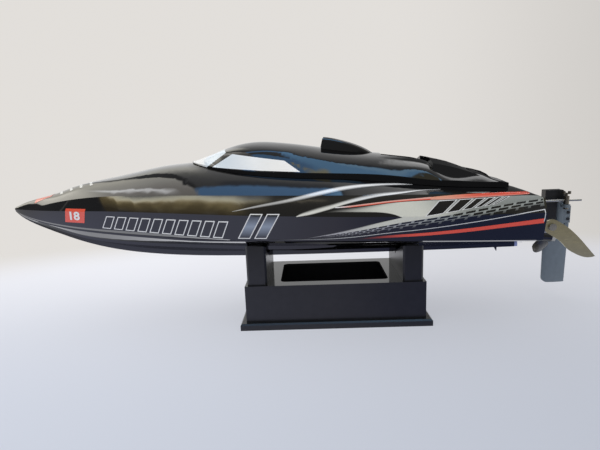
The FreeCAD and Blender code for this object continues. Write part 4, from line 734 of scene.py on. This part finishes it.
# top left, top right, low left and low right corners of plates and rows of bars
PLATE = [(-212.9, 100.5), (-194.1, 100.4), (-216.1, 89.2), (-197.7, 88.8)]
BARS_FORE = [(-176, 95.0), (-75, 91.0), (-182, 85.0), (-81, 77.5)]
BARS_MID = [(-61, 96.5), (-39, 96.0), (-72, 77.4), (-50, 77.0)]
BARS_AFT = [(75, 101.4), (126, 102.4), (64, 90.6), (115, 97.2)]
FORE_COUNT, FORE_FILL, FORE_EDGE = 10, 0.074, 0.75
MID_SPANS, MID_EDGE = [(0.0, 0.42), (0.56, 0.98)], 0.8
AFT_FIRST, AFT_LAST, AFT_SHRINK, AFT_GAP, AFT_EDGE = 0.26, 0.05, 0.74, 0.035, 0.8
DIGIT_HEIGHT, DIGIT_WIDEN, DIGIT_SLANT, DIGIT_FALL, DIGIT_BOLD = 7.2, 1.2, 0.16, 0.012, 0.03

# on the crown of the fore deck, as (X, Y); each pair of ticks aft is 1 mm longer
CROWN_X, CROWN_LONG, CROWN_HALF, CROWN_RED = -247, 15, 6.0, (0.60, 0.075, 0.035)
TICK_X, TICK_PITCH, TICK_PAIRS, TICK_WHITE = -227, 8.5, 4, (0.62, 0.62, 0.60)
TICK_INNER, TICK_OUTER, TICK_LONG, TICK_SWEEP = 1.2, 9.5, 2.2, 0.5


def stripes(film, side):
    """Two bright swooshes and three red lines, all fading in from the black."""

    def upper(s, t):
        body = mix(mix(BRIGHT, (0.60, 0.60, 0.58), soft(s, 0.0, 0.3)), BRIGHT, soft(s, 0.25, 0.55))
        core = soft(t, 0.0, 0.34) * soft(1 - t, 0.0, 0.5)
        return mix(BLACK, body, core * (0.55 + 0.45 * soft(s, 0.1, 0.4)))

    def lower(s, t):
        body = mix((0.74, 0.74, 0.68), BRIGHT, soft(s, 0.25, 0.5))
        core = soft(t, 0.0, 0.55 + 0.15 * soft(s, 0.3, 0.6)) * soft(1 - t, 0.0, 0.22)
        return mix(BLACK, body, core * (1 - 0.45 * soft(s, 0.75, 1.0)))

    def thin(s, t):
        return mix(mix(WHITE, PINK, soft(s, 0.0, 0.2)), RED, soft(t, 0.45, 0.75) * soft(s, 0.05, 0.25))

    def top(s, t):
        return mix(mix((0.80, 0.36, 0.24), RED, soft(s, 0.1, 0.5)), PINK, soft(t, 0.5, 0.9) * 0.6)

    def low(s, _):
        return mix(BLACK, RED, soft(s, 0.0, 0.35))

    film.patch(band(*SWOOSH_1, step=1.5, across=0.35), upper, side, SWOOSH_LAYER)
    film.patch(band(*SWOOSH_2, step=1.5, across=0.35), lower, side, SWOOSH_LAYER)
    film.patch(band(*THIN_RED, across=0.3), thin, side, RED_LAYER)
    film.patch(band(*TOP_RED, across=0.5), top, side, TRIM_LAYER)
    film.patch(band(*LOW_RED, across=0.6), low, side, RED_LAYER)


def silver_panel(film, side):
    """The silver field at the stern, its two tapers forward, and the ground under the checks."""

    def wedge(s, t):
        tone = mix((0.30, 0.30, 0.28), CREAM, soft(s, 0.2, 0.8))
        core = soft(t, -0.6 * s, 1.1 - 1.0 * s) * soft(1.02 - t, 0.0, 0.16 - 0.1 * s)
        return mix(BLACK, tone, soft(s, 0.0, 0.45) * core)

    def glow(s, t):
        tone = mix((0.42, 0.42, 0.45), CREAM, soft(s, 0.3, 0.8))
        return mix(BLACK, tone, soft(t, -0.5 * s * s, 0.9 - 0.8 * s) * soft(s, 0.0, 0.3))

    def silver(s, t):
        return mix(CREAM, mix(SILVER, DULL_SILVER, t), soft(s - 0.12 * t, 0.02, 0.42))

    def fade(s, t):
        tone = mix((0.36, 0.37, 0.40), SILVER, soft(s, 0.2, 0.6))
        return mix(BLACK, tone, soft(s, 0.0, 0.12) * (1 - 0.75 * soft(t, 0.35, 1.0)))

    panel_low = [p for p in CHECK_TOP if p[0] >= PANEL_START]
    film.patch(band(*WEDGE, step=1.5, across=0.4), wedge, side, PANEL_LAYER)
    film.patch(band(*GLOW, step=1.5, across=0.4), glow, side, PANEL_LAYER)
    film.patch(band(PANEL_TOP, panel_low, step=1.5, across=0.6), silver, side, PANEL_LAYER)
    film.patch(band(CHECK_TOP, CHECK_LOW, step=1.5, across=0.6), fade, side, PANEL_LAYER)


def checks(film, side):
    """Three staggered rows of leaning black checks that grow towards the stern."""
    for row, shares in enumerate(CHECK_ROWS):
        x = CHECK_START + row * CHECK_LEAN
        while x < CHECK_STOP:
            pitch = CHECK_PITCH + CHECK_GROWTH * soft(x, -10, 50)
            corners = []
            for t in shares:
                lean = (1 - t) * CHECK_LEAN
                for a in (x + lean, x + lean + CHECK_FILL * pitch):
                    a = min(a, CHECK_END)
                    top, low = level(CHECK_TOP, a), level(CHECK_LOW, a)
                    corners.append((a, top + (low - top) * t))
            film.patch(quad_grid(corners), BLACK, side, TRIM_LAYER)
            x += pitch


def pin_lines(film, side):
    """A thin white line under the checks, which turns down at the transom."""
    low = [(x, z - 0.34 - 0.25 * soft(x, 0, 150)) for x, z in THIN_WHITE]
    film.patch(band(THIN_WHITE, low, across=0.5),
               lambda s, t: mix(BLACK, (0.66, 0.68, 0.70), soft(s, 0.0, 0.35)), side, TRIM_LAYER)
    film.patch(band(*STERN_WHITE, across=0.5), (0.60, 0.62, 0.64), side, TRIM_LAYER)


def framed_bars(film, corners, spans, side, edge, fill):
    """Slanted bars, each a white frame round a dark or toned middle."""
    wide = math.dist(corners[0], corners[1])
    tall = math.dist(corners[0], corners[2])
    for s0, s1 in spans:
        film.patch(quad_grid(corners, s0, s1), WHITE, side, TRIM_LAYER)
        film.patch(quad_grid(corners, s0 + edge / wide, s1 - edge / wide, edge / tall, 1 - edge / tall), fill,
                   side, FILL_LAYER)


def digits(film, text, centre, side):
    """Plain numbers from the built-in font, laid on the plate so that they read forwards on either side."""
    curve = bpy.data.curves.new("digits", "FONT")
    curve.body, curve.align_x, curve.align_y, curve.size = text, "CENTER", "CENTER", 1.0
    curve.resolution_u = 4
    curve.offset = DIGIT_BOLD
    source = bpy.data.objects.new("digits", curve)
    scene.collection.objects.link(source)
    mesh = bpy.data.meshes.new_from_object(source)
    bpy.data.objects.remove(source)
    bounds = [(min(v.co[k] for v in mesh.vertices), max(v.co[k] for v in mesh.vertices)) for k in (0, 1)]
    scale = DIGIT_HEIGHT / (bounds[1][1] - bounds[1][0])
    middle = [(low + high) / 2 for low, high in bounds]
    found = []
    for v in mesh.vertices:
        a = -side * (v.co.x - middle[0]) * scale * DIGIT_WIDEN
        b = (v.co.y - middle[1]) * scale
        hit = film.skin.from_side(centre[0] + a + b * DIGIT_SLANT, centre[1] + b - a * DIGIT_FALL, side)
        found.append((*hit, WHITE))
    loops = [list(polygon.vertices) for polygon in mesh.polygons]
    loops = [loop[::-1] if turned_in(found, loop, DIGIT_LAYER * MM) else loop for loop in loops]
    film.shell(found, loops, DIGIT_LAYER * MM, DIGIT_ROOT * MM)
    bpy.data.meshes.remove(mesh)


def marks(film, side):
    """Rows of plain bars along the side and at the stern, and a red plate with a plain number."""
    fore = [(k / FORE_COUNT, k / FORE_COUNT + FORE_FILL) for k in range(FORE_COUNT)]
    framed_bars(film, BARS_FORE, fore, side, FORE_EDGE, BLACK)
    framed_bars(film, BARS_MID, MID_SPANS, side, MID_EDGE,
                lambda s, t: mix(BLACK, (0.26, 0.31, 0.40), 1 - abs(2 * t - 1)))
    aft, start, wide = [], 0.0, AFT_FIRST
    while wide > AFT_LAST:
        aft.append((start, start + wide))
        start, wide = start + wide + AFT_GAP, wide * AFT_SHRINK
    framed_bars(film, BARS_AFT, aft, side, AFT_EDGE, BLACK)
    film.patch(quad_grid(PLATE), RED, side, RED_LAYER)
    digits(film, "18", [sum(p[k] for p in PLATE) / 4 for k in (0, 1)], side)


def crown_marks(film):
    """A red plate and pairs of plain swept ticks on the crown of the fore deck."""
    plate = [[(CROWN_X + CROWN_LONG * i / 14, CROWN_HALF * (j / 6 - 1)) for j in range(13)]
             for i in range(15)]
    film.patch(plate, CROWN_RED, None, RED_LAYER)
    for k in range(TICK_PAIRS):
        x = TICK_X + TICK_PITCH * k
        outer = TICK_OUTER + k
        for y0, y1 in ((-outer, -TICK_INNER), (TICK_INNER, outer)):
            across = [y0 + (y1 - y0) * j / 8 for j in range(9)]
            tick = [[(x + TICK_LONG * i / 3 + TICK_SWEEP * abs(y), y) for y in across] for i in range(4)]
            film.patch(tick, TICK_WHITE, None, RED_LAYER)


def make_livery(skin):
    for side, label in ((PORT, "port"), (STARBOARD, "starboard")):
        for draw in (stripes, silver_panel, checks, pin_lines, marks):
            film = Film(skin)
            draw(film, side)
            film.finish(draw.__name__ + "_" + label)
    film = Film(skin)
    crown_marks(film)
    film.finish("crown_marks")


# ---------------------------------------------------------------- main
make_camera()
make_world()
make_floor()
make_lights()
MATERIALS = make_materials()
SLOT_OF = {row["node"]: row["material_slot"] for row in frame["record"]["subparts"]}
for node_name, node in nodes.items():
    node.data.materials.clear()
    node.data.materials.append(MATERIALS[SLOT_OF[node_name]])
    for polygon in node.data.polygons:
        polygon.use_smooth = True
make_livery(Skin(["hull_shell", "deck_shell"]))
